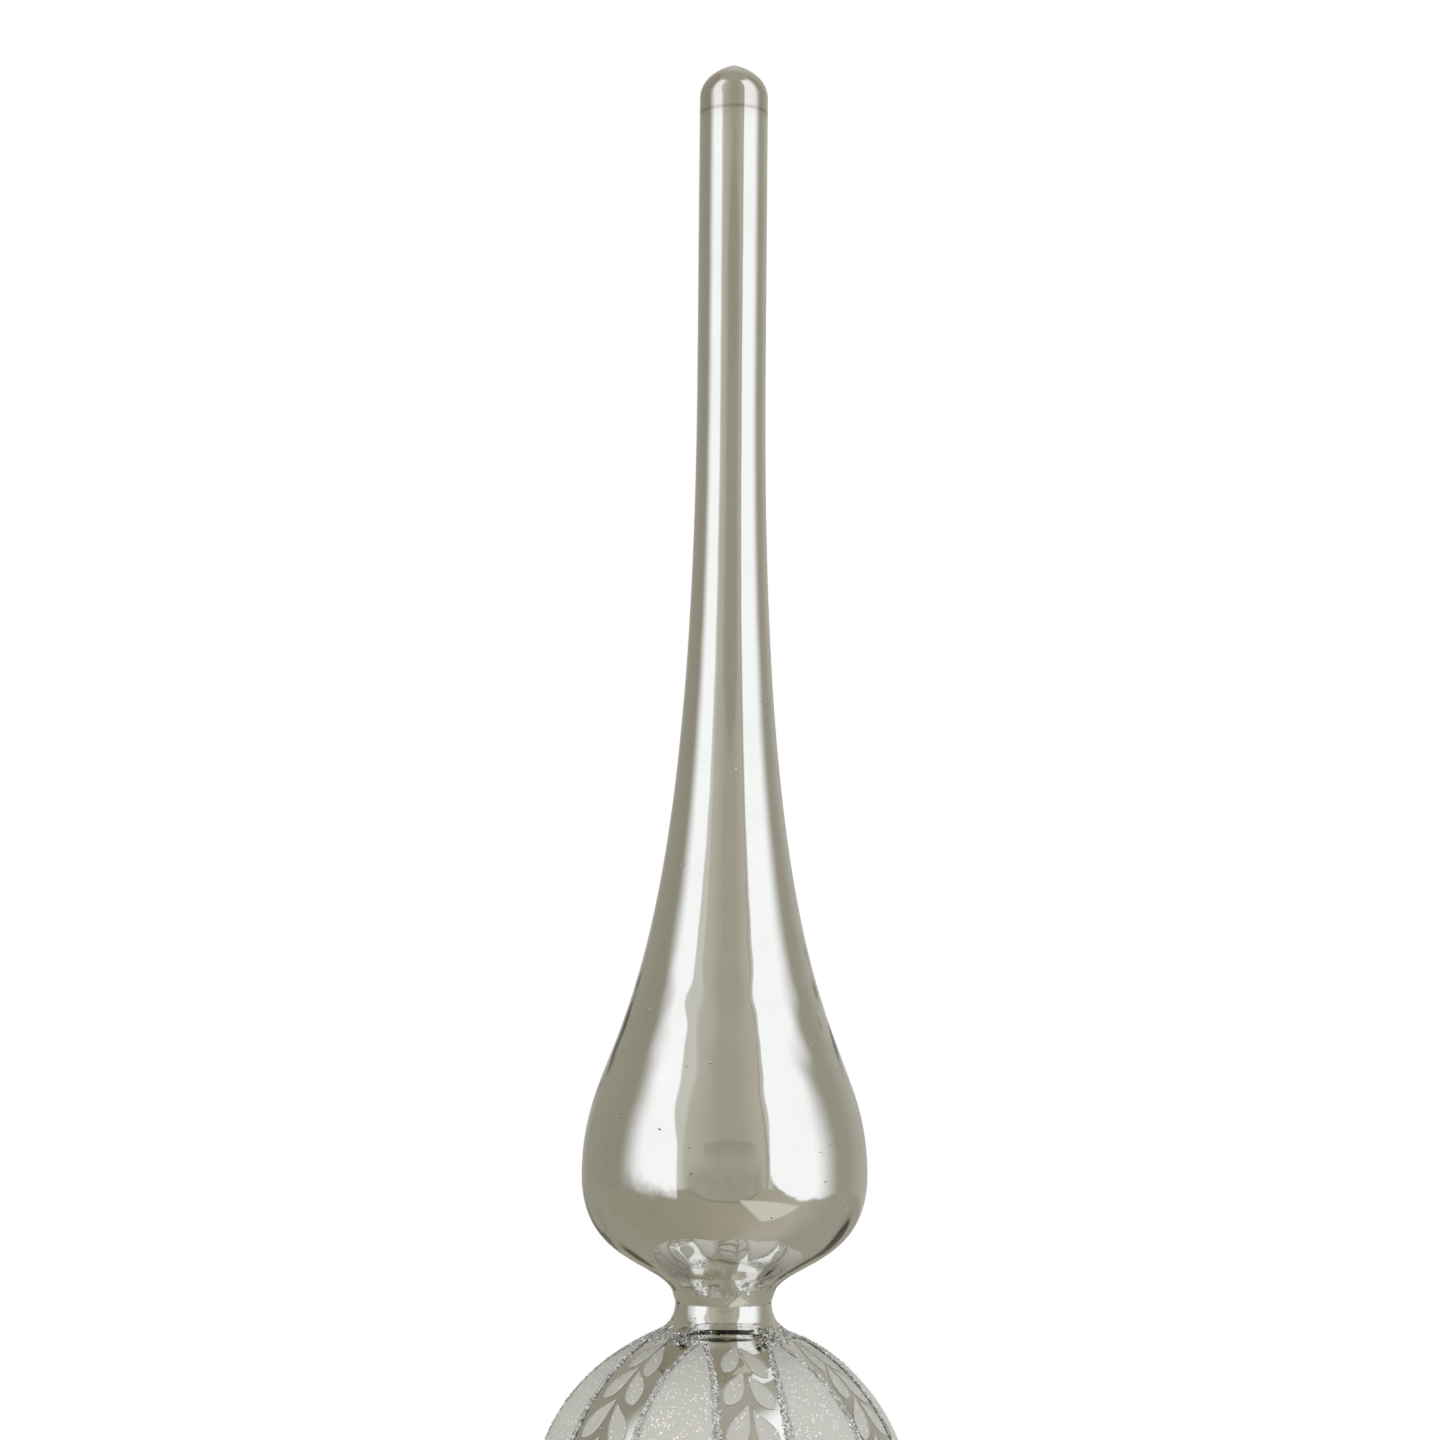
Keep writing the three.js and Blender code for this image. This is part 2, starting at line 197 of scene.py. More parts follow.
def grid_faces(rows, columns, wrap_rows=False, wrap_columns=False):
    """Quads over a grid of points stored row by row."""
    faces = []
    for i in range(rows if wrap_rows else rows - 1):
        for j in range(columns if wrap_columns else columns - 1):
            k, m = (i + 1) % rows, (j + 1) % columns
            faces.append((i * columns + j, i * columns + m, k * columns + m, k * columns + j))
    return faces


def spun(name, line, segments, material, push=None, closed=False):
    """Turns a (radius, height) line round the axis. A closed line comes back to its start;
    any other starts and ends on the axis. push(angle, height) adds to the radius."""
    angles = np.arange(segments) * TURN / segments
    rings = line if closed else line[1:-1]
    radius = np.repeat(rings[:, :1], segments, 1)
    height = np.repeat(rings[:, 1:], segments, 1)
    if push:
        radius = radius + push(angles[None, :], rings[:, 1:], rings[:, :1])
    grid = np.stack([radius * np.sin(angles), -radius * np.cos(angles), height], 2)
    points = grid.reshape(-1, 3)
    faces = grid_faces(len(rings), segments, wrap_rows=closed, wrap_columns=True)
    if not closed:
        first, last = len(points), len(points) + 1
        ends = [[0, 0, line[0, 1]], [0, 0, line[-1, 1]]]
        points = np.concatenate([points, ends])
        top = (len(rings) - 1) * segments
        for j in range(segments):
            k = (j + 1) % segments
            faces.append((first, k, j))
            faces.append((last, top + j, top + k))
    return new_piece(name, points, faces, material)


def on_ball(azimuth, latitude, height):
    """Points above the ball's glass, in millimetres."""
    azimuth, latitude, height = np.broadcast_arrays(azimuth, latitude, height)
    radius = BALL_RADIUS + height
    flat = radius * np.cos(latitude)
    z = ball_z + radius * np.sin(latitude)
    return np.stack([flat * np.sin(azimuth), -flat * np.cos(azimuth), z], -1)


def slab_faces(rows, columns):
    """Faces of a closed slab whose points are an upper grid, then a lower one."""
    count = rows * columns
    up = grid_faces(rows, columns)
    down = [tuple(count + v for v in reversed(f)) for f in up]
    rim = [j for j in range(columns)]
    rim += [i * columns + columns - 1 for i in range(1, rows)]
    rim += [(rows - 1) * columns + j for j in range(columns - 2, -1, -1)]
    rim += [i * columns for i in range(rows - 2, 0, -1)]
    walls = [(a, a + count, b + count, b) for a, b in zip(rim, rim[1:] + rim[:1])]
    return up + down + walls


def slab_on_ball(azimuth, latitude, height):
    """Points and faces of a closed thin layer over grids of azimuth and latitude."""
    top = on_ball(azimuth, latitude, height).reshape(-1, 3)
    base = on_ball(azimuth, latitude, 0.01).reshape(-1, 3)
    return np.concatenate([top, base]), slab_faces(*azimuth.shape)


# ------------------------------------------------------------------ node helpers

def new_material(name):
    """An empty material with its Principled shader already wired to the output."""
    material = bpy.data.materials.new(name)
    material.use_nodes = True
    nodes = material.node_tree.nodes
    return material, nodes, material.node_tree.links, nodes["Principled BSDF"]


def add_node(nodes, kind, **settings):
    node = nodes.new(kind)
    for name, value in settings.items():
        setattr(node, name, value)
    return node


def maths(nodes, links, operation, *values):
    """A Math node fed by sockets or numbers."""
    node = add_node(nodes, "ShaderNodeMath", operation=operation)
    for socket, value in zip(node.inputs, values):
        if isinstance(value, (int, float)):
            socket.default_value = value
        else:
            links.new(value, socket)
    return node.outputs[0]


def eased(nodes, links, value, low, high, to_low=0.0, to_high=1.0):
    """A smooth change from to_low to to_high as value goes from low to high."""
    node = add_node(nodes, "ShaderNodeMapRange", interpolation_type="SMOOTHSTEP")
    links.new(value, node.inputs["Value"])
    settings = {"From Min": low, "From Max": high, "To Min": to_low, "To Max": to_high}
    for name, number in settings.items():
        node.inputs[name].default_value = number
    return node.outputs["Result"]


def blend_colours(nodes, links, share, first, second):
    """A colour mix; share, first and second are sockets or plain values."""
    node = add_node(nodes, "ShaderNodeMix", data_type="RGBA")
    for index, value in ((0, share), (6, first), (7, second)):
        if isinstance(value, bpy.types.NodeSocket):
            links.new(value, node.inputs[index])
        else:
            node.inputs[index].default_value = value if index == 0 else (*value, 1)
    return node.outputs[2]


def colour_stops(nodes, links, value, stops, interpolation="EASE"):
    node = add_node(nodes, "ShaderNodeValToRGB")
    ramp = node.color_ramp
    ramp.interpolation = interpolation
    while len(ramp.elements) < len(stops):
        ramp.elements.new(0.5)
    for element, (place, colour) in zip(ramp.elements, stops):
        element.position = place
        element.color = (*colour, 1)
    links.new(value, node.inputs[0])
    return node.outputs["Color"]


def group_tree(name, inputs, outputs):
    """A shader node group with named inputs {name: (type, value)} and outputs {name: type}."""
    tree = bpy.data.node_groups.new(name, "ShaderNodeTree")
    for label, (kind, value) in inputs.items():
        socket = tree.interface.new_socket(label, in_out="INPUT", socket_type=kind)
        socket.default_value = value
    for label, kind in outputs.items():
        tree.interface.new_socket(label, in_out="OUTPUT", socket_type=kind)
    start = tree.nodes.new("NodeGroupInput")
    end = tree.nodes.new("NodeGroupOutput")
    return tree, start, end


def placed_group(nodes, tree, **values):
    node = nodes.new("ShaderNodeGroup")
    node.node_tree = tree
    for name, value in values.items():
        node.inputs[name.replace("_", " ")].default_value = value
    return node


# ------------------------------------------------------------------ shared effects

def grain_effect():
    """Fine crushed-glass grain: a height, and a mask of the few grains that catch the light."""
    tree, start, end = group_tree(
        "crushed_grain",
        {"Grain": ("NodeSocketFloat", 2500.0), "Sparkle Share": ("NodeSocketFloat", 0.1)},
        {"Height": "NodeSocketFloat", "Sparkle": "NodeSocketFloat", "Tone": "NodeSocketColor"},
    )
    nodes, links = tree.nodes, tree.links
    place = nodes.new("ShaderNodeTexCoord").outputs["Object"]
    cells = add_node(nodes, "ShaderNodeTexVoronoi", feature="F1")
    links.new(place, cells.inputs["Vector"])
    links.new(start.outputs["Grain"], cells.inputs["Scale"])
    pick = add_node(nodes, "ShaderNodeSeparateColor")
    links.new(cells.outputs["Color"], pick.inputs[0])
    limit = maths(nodes, links, "SUBTRACT", 1.0, start.outputs["Sparkle Share"])
    sparkle = maths(nodes, links, "GREATER_THAN", pick.outputs[0], limit)
    links.new(pick.outputs[1], end.inputs["Height"])
    links.new(sparkle, end.inputs["Sparkle"])
    links.new(cells.outputs["Color"], end.inputs["Tone"])
    return tree


def mottle_effect():
    """Slow cloudy variation, from 0 to 1."""
    tree, start, end = group_tree(
        "slow_mottle",
        {"Scale": ("NodeSocketFloat", 60.0), "Contrast": ("NodeSocketFloat", 1.0)},
        {"Amount": "NodeSocketFloat"},
    )
    nodes, links = tree.nodes, tree.links
    cloud = add_node(nodes, "ShaderNodeTexNoise")
    cloud.inputs["Detail"].default_value = 3.0
    links.new(nodes.new("ShaderNodeTexCoord").outputs["Object"], cloud.inputs["Vector"])
    links.new(start.outputs["Scale"], cloud.inputs["Scale"])
    centred = maths(nodes, links, "SUBTRACT", cloud.outputs["Fac"], 0.5)
    spread = maths(nodes, links, "MULTIPLY", centred, start.outputs["Contrast"])
    links.new(maths(nodes, links, "ADD", spread, 0.5), end.inputs["Amount"])
    return tree


crushed_grain = grain_effect()
slow_mottle = mottle_effect()


# ------------------------------------------------------------------ materials

def clear_glass():
    material, nodes, links, shader = new_material("clear_glass")
    shader.inputs["Base Color"].default_value = (0.985, 0.985, 0.975, 1)
    shader.inputs["Roughness"].default_value = 0.0
    shader.inputs["Transmission Weight"].default_value = 1.0
    shader.inputs["IOR"].default_value = 1.5
    return material


def silvering():
    """Mirror silver with a slow mottle and the faint brown ring at its upper level."""
    material, nodes, links, shader = new_material("silvering")
    shader.inputs["Metallic"].default_value = 1.0
    mottle = placed_group(nodes, slow_mottle, Scale=90.0, Contrast=1.2)
    plain = blend_colours(nodes, links, mottle.outputs[0], (0.80, 0.79, 0.755), (0.87, 0.865, 0.835))
    place = nodes.new("ShaderNodeTexCoord").outputs["Object"]
    split = add_node(nodes, "ShaderNodeSeparateXYZ")
    links.new(place, split.inputs[0])
    waver = add_node(nodes, "ShaderNodeTexNoise")
    waver.inputs["Scale"].default_value = 220.0
    links.new(place, waver.inputs["Vector"])
    shift = maths(nodes, links, "MULTIPLY", waver.outputs["Fac"], 0.5 * MM)
    level = maths(nodes, links, "ADD", split.outputs["Z"], shift)
    off = maths(nodes, links, "SUBTRACT", level, (tip_top - LEVEL_LINE_BELOW_TIP) * MM)
    dome = eased(nodes, links, off, -2.5 * MM, 0.5 * MM, 0.0, 0.8)
    stained = blend_colours(nodes, links, dome, plain, (0.74, 0.70, 0.66))
    ring = eased(nodes, links, maths(nodes, links, "ABSOLUTE", off), 0.05 * MM, 0.6 * MM, 0.5, 0.0)
    colour = blend_colours(nodes, links, ring, stained, (0.40, 0.33, 0.26))
    links.new(colour, shader.inputs["Base Color"])
    links.new(eased(nodes, links, mottle.outputs[0], 0, 1, 0.02, 0.06), shader.inputs["Roughness"])
    return material


def frosting(name, base, grain, sparkle_share, roughness):
    """Pale crushed-glass frost with a little iridescent sparkle."""
    material, nodes, links, shader = new_material(name)
    speck = placed_group(nodes, crushed_grain, Grain=grain, Sparkle_Share=sparkle_share)
    mottle = placed_group(nodes, slow_mottle, Scale=140.0, Contrast=0.9)
    dull = tuple(0.9 * c for c in base)
    cloudy = blend_colours(nodes, links, mottle.outputs[0], dull, base)
    tint = add_node(nodes, "ShaderNodeHueSaturation")
    tint.inputs["Saturation"].default_value = 0.12
    tint.inputs["Value"].default_value = 1.25
    links.new(speck.outputs["Tone"], tint.inputs["Color"])
    colour = blend_colours(nodes, links, speck.outputs["Sparkle"], cloudy, tint.outputs[0])
    links.new(colour, shader.inputs["Base Color"])
    rough = maths(nodes, links, "MULTIPLY", speck.outputs["Sparkle"], -(roughness - 0.2))
    links.new(maths(nodes, links, "ADD", rough, roughness), shader.inputs["Roughness"])
    bump = add_node(nodes, "ShaderNodeBump")
    bump.inputs["Strength"].default_value = 0.5
    bump.inputs["Distance"].default_value = 0.06 * MM
    links.new(speck.outputs["Height"], bump.inputs["Height"])
    links.new(bump.outputs[0], shader.inputs["Normal"])
    return material


def glitter_flake(name, stops, metallic, roughness):
    """Flakes whose tone follows the number each one was given when it was laid."""
    material, nodes, links, shader = new_material(name)
    shader.inputs["Metallic"].default_value = metallic
    tone = add_node(nodes, "ShaderNodeAttribute", attribute_name="flake_tone")
    links.new(colour_stops(nodes, links, tone.outputs["Fac"], stops), shader.inputs["Base Color"])
    links.new(eased(nodes, links, tone.outputs["Fac"], 0, 1, roughness, roughness * 2),
              shader.inputs["Roughness"])
    return material


def glue_line():
    material, nodes, links, shader = new_material("glue_line")
    speck = placed_group(nodes, crushed_grain, Grain=3200.0, Sparkle_Share=0.3)
    colour = blend_colours(nodes, links, speck.outputs["Sparkle"], (0.42, 0.42, 0.40), (0.85, 0.86, 0.86))
    links.new(colour, shader.inputs["Base Color"])
    shader.inputs["Metallic"].default_value = 0.35
    links.new(eased(nodes, links, speck.outputs["Height"], 0, 1, 0.25, 0.6), shader.inputs["Roughness"])
    bump = add_node(nodes, "ShaderNodeBump")
    bump.inputs["Strength"].default_value = 0.9
    bump.inputs["Distance"].default_value = 0.1 * MM
    links.new(speck.outputs["Height"], bump.inputs["Height"])
    links.new(bump.outputs[0], shader.inputs["Normal"])
    return material


def pressed_aluminium():
    material, nodes, links, shader = new_material("pressed_aluminium")
    shader.inputs["Metallic"].default_value = 1.0
    mottle = placed_group(nodes, slow_mottle, Scale=130.0, Contrast=0.5)
    colour = blend_colours(nodes, links, mottle.outputs[0], (0.66, 0.66, 0.67), (0.80, 0.80, 0.81))
    links.new(colour, shader.inputs["Base Color"])
    links.new(eased(nodes, links, mottle.outputs[0], 0.2, 0.8, 0.22, 0.4), shader.inputs["Roughness"])
    return material


def drawn_steel():
    material, nodes, links, shader = new_material("drawn_steel")
    shader.inputs["Metallic"].default_value = 1.0
    mottle = placed_group(nodes, slow_mottle, Scale=300.0, Contrast=0.6)
    colour = blend_colours(nodes, links, mottle.outputs[0], (0.42, 0.43, 0.45), (0.62, 0.63, 0.65))
    links.new(colour, shader.inputs["Base Color"])
    links.new(eased(nodes, links, mottle.outputs[0], 0.2, 0.8, 0.18, 0.34), shader.inputs["Roughness"])
    return material


glass_material = clear_glass()
silver_material = silvering()
petal_material = frosting("petal_frost", (0.665, 0.66, 0.625), 4200.0, 0.05, 0.6)
leaf_material = frosting("leaf_frost", (0.62, 0.617, 0.58), 4200.0, 0.02, 0.5)
silver_flakes = glitter_flake(
    "silver_flakes",
    [(0.0, (0.58, 0.59, 0.58)), (0.4, (0.80, 0.81, 0.81)), (1.0, (0.97, 0.97, 0.97))],
    0.5, 0.2,
)
pearl_flakes = glitter_flake(
    "pearl_flakes",
    [(0.0, (0.62, 0.80, 0.68)), (0.2, (0.84, 0.85, 0.82)), (0.85, (0.92, 0.92, 0.90)),
     (1.0, (0.86, 0.72, 0.76))],
    0.5, 0.15,
)
glue_material = glue_line()
aluminium_material = pressed_aluminium()
steel_material = drawn_steel()


# ------------------------------------------------------------------ geometry node trees

def geometry_tree(name, inputs):
    """A geometry node tree with the named inputs {name: (type, value)}."""
    tree = bpy.data.node_groups.new(name, "GeometryNodeTree")
    tree.interface.new_socket("Geometry", in_out="INPUT", socket_type="NodeSocketGeometry")
    for label, (kind, value) in inputs.items():
        socket = tree.interface.new_socket(label, in_out="INPUT", socket_type=kind)
        if value is not None:
            socket.default_value = value
    tree.interface.new_socket("Geometry", in_out="OUTPUT", socket_type="NodeSocketGeometry")
    return tree, tree.nodes.new("NodeGroupInput"), tree.nodes.new("NodeGroupOutput")


def finish_tree(tree, start, end, geometry):
    """Ends a tree in Realize Instances and Set Material."""
    realize = tree.nodes.new("GeometryNodeRealizeInstances")
    dress = tree.nodes.new("GeometryNodeSetMaterial")
    tree.links.new(geometry, realize.inputs[0])
    tree.links.new(realize.outputs[0], dress.inputs["Geometry"])
    tree.links.new(start.outputs["Material"], dress.inputs["Material"])
    tree.links.new(dress.outputs[0], end.inputs[0])
    return tree


def flake_tree():
    """Lays six-sided flakes over a surface, thickly where its "cover" is high."""
    tree, start, end = geometry_tree("lay_flakes", {
        "Flakes per Square Millimetre": ("NodeSocketFloat", 4.0),
        "Flake Width": ("NodeSocketFloat", 0.4 * MM),
        "Flake Thickness": ("NodeSocketFloat", 0.06 * MM),
        "Stand": ("NodeSocketFloat", 0.05 * MM),
        "Tilt": ("NodeSocketFloat", 0.6),
        "Seed": ("NodeSocketInt", 1),
        "Material": ("NodeSocketMaterial", None),
    })
    nodes, links = tree.nodes, tree.links
    cover = add_node(nodes, "GeometryNodeInputNamedAttribute", data_type="FLOAT")
    cover.inputs["Name"].default_value = "cover"
    per_metre = maths(nodes, links, "DIVIDE", start.outputs["Flakes per Square Millimetre"], MM * MM)
    density = maths(nodes, links, "MULTIPLY", per_metre, cover.outputs["Attribute"])
    spread = add_node(nodes, "GeometryNodeDistributePointsOnFaces", distribute_method="RANDOM")
    links.new(start.outputs["Geometry"], spread.inputs["Mesh"])
    links.new(density, spread.inputs["Density"])
    links.new(start.outputs["Seed"], spread.inputs["Seed"])

    lift = add_node(nodes, "ShaderNodeVectorMath", operation="SCALE")
    links.new(spread.outputs["Normal"], lift.inputs[0])
    links.new(start.outputs["Stand"], lift.inputs["Scale"])
    raised = nodes.new("GeometryNodeSetPosition")
    links.new(spread.outputs["Points"], raised.inputs["Geometry"])
    links.new(lift.outputs[0], raised.inputs["Offset"])

    flake = add_node(nodes, "GeometryNodeMeshCylinder", fill_type="NGON")
    flake.inputs["Vertices"].default_value = 6
    half_width = maths(nodes, links, "MULTIPLY", start.outputs["Flake Width"], 0.5)
    links.new(half_width, flake.inputs["Radius"])
    links.new(start.outputs["Flake Thickness"], flake.inputs["Depth"])
    flat = add_node(nodes, "GeometryNodeSetShadeSmooth")
    links.new(flake.outputs["Mesh"], flat.inputs["Geometry"])
    flat.inputs["Shade Smooth"].default_value = False

    lean = random_value(nodes, links, start, "FLOAT_VECTOR", 11)
    down = maths(nodes, links, "MULTIPLY", start.outputs["Tilt"], -1.0)
    for name, value in (("Min", down), ("Max", start.outputs["Tilt"])):
        corner = nodes.new("ShaderNodeCombineXYZ")
        links.new(value, corner.inputs[0])
        links.new(value, corner.inputs[1])
        corner.inputs[2].default_value = 0.0 if name == "Min" else TURN
        links.new(corner.outputs[0], lean.inputs[name])
    turn = nodes.new("FunctionNodeEulerToRotation")
    links.new(lean.outputs["Value"], turn.inputs[0])
    leaning = add_node(nodes, "FunctionNodeRotateRotation", rotation_space="LOCAL")
    links.new(spread.outputs["Rotation"], leaning.inputs[0])
    links.new(turn.outputs[0], leaning.inputs[1])

    size = random_value(nodes, links, start, "FLOAT", 23)
    size.inputs["Min"].default_value, size.inputs["Max"].default_value = 0.65, 1.25
    lay = nodes.new("GeometryNodeInstanceOnPoints")
    links.new(raised.outputs[0], lay.inputs["Points"])
    links.new(flat.outputs[0], lay.inputs["Instance"])
    links.new(leaning.outputs[0], lay.inputs["Rotation"])
    links.new(size.outputs[1], lay.inputs["Scale"])

    tone = random_value(nodes, links, start, "FLOAT", 37)
    label = add_node(nodes, "GeometryNodeStoreNamedAttribute", data_type="FLOAT", domain="INSTANCE")
    label.inputs["Name"].default_value = "flake_tone"
    links.new(lay.outputs[0], label.inputs["Geometry"])
    links.new(tone.outputs[1], label.inputs["Value"])
    return finish_tree(tree, start, end, label.outputs[0])


def random_value(nodes, links, start, kind, step):
    """A Random Value node whose seed is the tree's Seed plus a step of its own."""
    node = add_node(nodes, "FunctionNodeRandomValue", data_type=kind)
    seed = maths(nodes, links, "ADD", start.outputs["Seed"], float(step))
    links.new(seed, node.inputs["Seed"])
    return node


def wire_tree():
    """Draws a round wire along a line of edges."""
    tree, start, end = geometry_tree("draw_wire", {
        "Wire Width": ("NodeSocketFloat", 1.0 * MM),
        "Sides": ("NodeSocketInt", 14),
        "Material": ("NodeSocketMaterial", None),
    })
    nodes, links = tree.nodes, tree.links
    line = nodes.new("GeometryNodeMeshToCurve")
    links.new(start.outputs["Geometry"], line.inputs["Mesh"])
    section = add_node(nodes, "GeometryNodeCurvePrimitiveCircle", mode="RADIUS")
    links.new(start.outputs["Sides"], section.inputs["Resolution"])
    radius = maths(nodes, links, "MULTIPLY", start.outputs["Wire Width"], 0.5)
    links.new(radius, section.inputs["Radius"])
    drawn = nodes.new("GeometryNodeCurveToMesh")
    drawn.inputs["Fill Caps"].default_value = True
    links.new(line.outputs[0], drawn.inputs["Curve"])
    links.new(section.outputs[0], drawn.inputs["Profile Curve"])
    return finish_tree(tree, start, end, drawn.outputs[0])


lay_flakes = flake_tree()
draw_wire = wire_tree()


def grown(name, base, tree, **values):
    """Runs a geometry node tree on a base object and keeps the result as a plain mesh."""
    modifier = base.modifiers.new("grow", "NODES")
    modifier.node_group = tree
    sockets = {item.name: item.identifier for item in tree.interface.items_tree
               if item.item_type == "SOCKET" and item.in_out == "INPUT"}
    for label, value in values.items():
        modifier[sockets[label.replace("_", " ")]] = value
    evaluated = base.evaluated_get(bpy.context.evaluated_depsgraph_get())
    mesh = bpy.data.meshes.new_from_object(evaluated)
    mesh.name = name
    base.modifiers.remove(modifier)
    bpy.data.objects.remove(base)
    piece = bpy.data.objects.new(name, mesh)
    bpy.context.scene.collection.objects.link(piece)
    return piece


def flaked(name, base, cover, material, per_mm2, width, thickness, stand, tilt, seed):
    """Flakes over a base surface; cover has a number from 0 to 1 for each of its points."""
    attribute = base.data.attributes.new("cover", "FLOAT", "POINT")
    attribute.data.foreach_set("value", np.asarray(cover, np.float32))
    return grown(
        name, base, lay_flakes,
        Flakes_per_Square_Millimetre=per_mm2, Flake_Width=width * MM,
        Flake_Thickness=thickness * MM, Stand=stand * MM, Tilt=tilt, Seed=seed,
        Material=material,
    )


def settle(piece, body, slot, *nodes):
    """Gives a finished piece its body and hides the nodes that it stands for; the slot argument is not used.
    """
    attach(piece, body)
    if nodes:
        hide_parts(*nodes)
    return piece


# ------------------------------------------------------------------ blown glass

def waviness(angle, height, across, along):
    """Smooth noise over the glass, from -1 to 1: across in waves a turn, along in millimetres."""
    reach = across / TURN
    waves = np.empty(np.broadcast(angle, height).shape)
    for i, z in enumerate(height[:, 0]):
        for j, turn in enumerate(angle[0]):
            spot = (reach * math.cos(turn), reach * math.sin(turn), z / along)
            waves[i, j] = noise.noise(Vector(spot))
    return waves


def bump(height, middle, reach):
    """A smooth rise to 1 at a level above the ball's centre, falling off over reach."""
    return np.exp(-((height - ball_z - middle) / reach) ** 2)


def outside_waver(angle, height, radius):
    """Unevenness of the blown skin and the fused ridges at the neck, in radius."""
    amount = 0.008 + 0.05 * bump(height, 92, 16) + 0.06 * bump(height, 50, 9)
    slow = amount * waviness(angle, height, 14.0, 9.0) * np.minimum(radius / NECK_RADIUS, 1)
    above_ball = height - ball_z
    window = smooth_step(above_ball, SEAM_LOW, SEAM_LOW + 0.5)
    window = window * (1 - smooth_step(above_ball, SEAM_HIGH - 0.5, SEAM_HIGH))
    broken = 0.6 + 0.9 * waviness(angle, height, 22.0, 1.4)
    ridges = SEAM_HEIGHT * window * broken * np.sin(TURN * above_ball / SEAM_PITCH)
    return slow + ridges


def silver_waver(angle, height, radius):
    """The inside of a blown wall is more uneven than its outside."""
    fine = 0.006 + 0.10 * bump(height, 90, 11) + 0.30 * bump(height, 47, 7)
    waves = fine * waviness(angle, height, 26.0, 5.0)
    return outside_waver(angle, height, radius) + waves * np.minimum(radius / NECK_RADIUS, 1)


def glass_outline():
    """Outside of the glass from the socket's rim to the tip, as (radius, height) rows."""
    bulb = (BULB_RADIUS, bulb_z)
    stem = (STEM_RADIUS, stem_z)
    parts = [
        np.array([[SOCKET_RADIUS, rim_z + RIM_ROUND]]),
        arc(socket_centre, SOCKET_FILLET, math.pi, math.pi - socket_join),
        arc((0, ball_z), BALL_RADIUS, -socket_join, neck_join, 120)[1:],
        arc(neck_centre, NECK_FILLET, math.pi + neck_join, math.pi)[1:],
        bezier((NECK_RADIUS, neck_z), (NECK_RADIUS, neck_z + UNDERSIDE_TUCK),
               (BULB_RADIUS, bulb_z - UNDERSIDE_FULLNESS), bulb)[1:],
        bezier(bulb, (BULB_RADIUS, bulb_z + FLARE_FULLNESS),
               (STEM_RADIUS, stem_z - FLARE_SLIMNESS), stem)[1:],
        bezier((STEM_RADIUS, tip_z), (STEM_RADIUS, tip_z + 0.58 * TIP_RISE),
               (0.4 * STEM_RADIUS, tip_z + 0.87 * TIP_RISE), (0, tip_top - 0.02))[0:],
    ]
    line = respaced(np.concatenate(parts), glass_spacing)
    line[-1, 0] = 0
    return line


def glass_spacing(height):
    """Fine steps where the fused ridges and the tip need them."""
    above_ball = height - ball_z
    if SEAM_LOW - 1 < above_ball < SEAM_HIGH + 1:
        return 0.2
    return 0.45 if height > tip_z - 1 else 1.25


def inner_line(line, depth):
    """A line inside the outline by depth, ending on the axis."""
    inner = sideways(line, depth)
    inner[-1] = (0, line[-1, 1] - np.broadcast_to(depth, len(line))[-1])
    return inner[inner[:, 0] >= 0]


def thinned(line, step):
    """Every step-th point of a line, with its last point kept once."""
    return np.concatenate([line[:-1][::step], line[-1:]])


def make_glass():
    outline = glass_outline()
    inside = thinned(inner_line(outline, GLASS_WALL), 3)
    middle = SOCKET_RADIUS - GLASS_WALL / 2
    rim = arc((middle, rim_z + RIM_ROUND), GLASS_WALL / 2, -math.pi, 0, 8)
    rim[:, 1] = rim_z + RIM_ROUND + (rim[:, 1] - rim_z - RIM_ROUND) * RIM_ROUND / (GLASS_WALL / 2)
    line = np.concatenate([inside[::-1][:-1], rim, outline[1:]])
    skin = spun("blown_glass", line, 144, glass_material, push=outside_waver)
    settle(skin, "glass", "silvered_glass", "spire_glass", "ball_glass", "socket_glass")

    on_neck = smooth_step(outline[:, 1], neck_z - 2, neck_z + 12)
    depth = SILVER_DEPTH_ON_BALL + (SILVER_DEPTH - SILVER_DEPTH_ON_BALL) * on_neck
    lit = inner_line(outline, depth)
    back = thinned(inner_line(outline, depth + SILVER_SKIN), 3)
    foot = rim_z + SILVER_FOOT
    lit, back = lit[lit[:, 1] > foot], back[back[:, 1] > foot]
    lining = spun("silver_lining", np.concatenate([back[::-1], lit]), 144, silver_material,
                  push=silver_waver)
    settle(lining, "glass", "silvered_glass")


# ------------------------------------------------------------------ petals, leaves, glitter

def petal_half_angle(share):
    """Half a petal's angle at a share of its length, from -1 at its foot to 1 at its top."""
    widest = PETAL_WIDTH / 2 / BALL_RADIUS
    return widest * (1 - np.abs(share) ** PETAL_FULLNESS) ** PETAL_END_ROUNDNESS


def frost_grid(azimuth):
    """Azimuths and latitudes over the frosted inside of a petal."""
    rows = np.sin(np.linspace(-math.pi / 2, math.pi / 2, 61)) * 0.995
    columns = np.linspace(-1, 1, 17)
    share, across = np.meshgrid(rows, columns, indexing="ij")
    latitude = petal_middle + share * petal_reach
    edge = petal_half_angle(share)
    inset = 0.3 * LINE_WIDTH / BALL_RADIUS / np.cos(latitude)
    return azimuth + across * np.maximum(edge - inset, 0.2 * edge), latitude, across


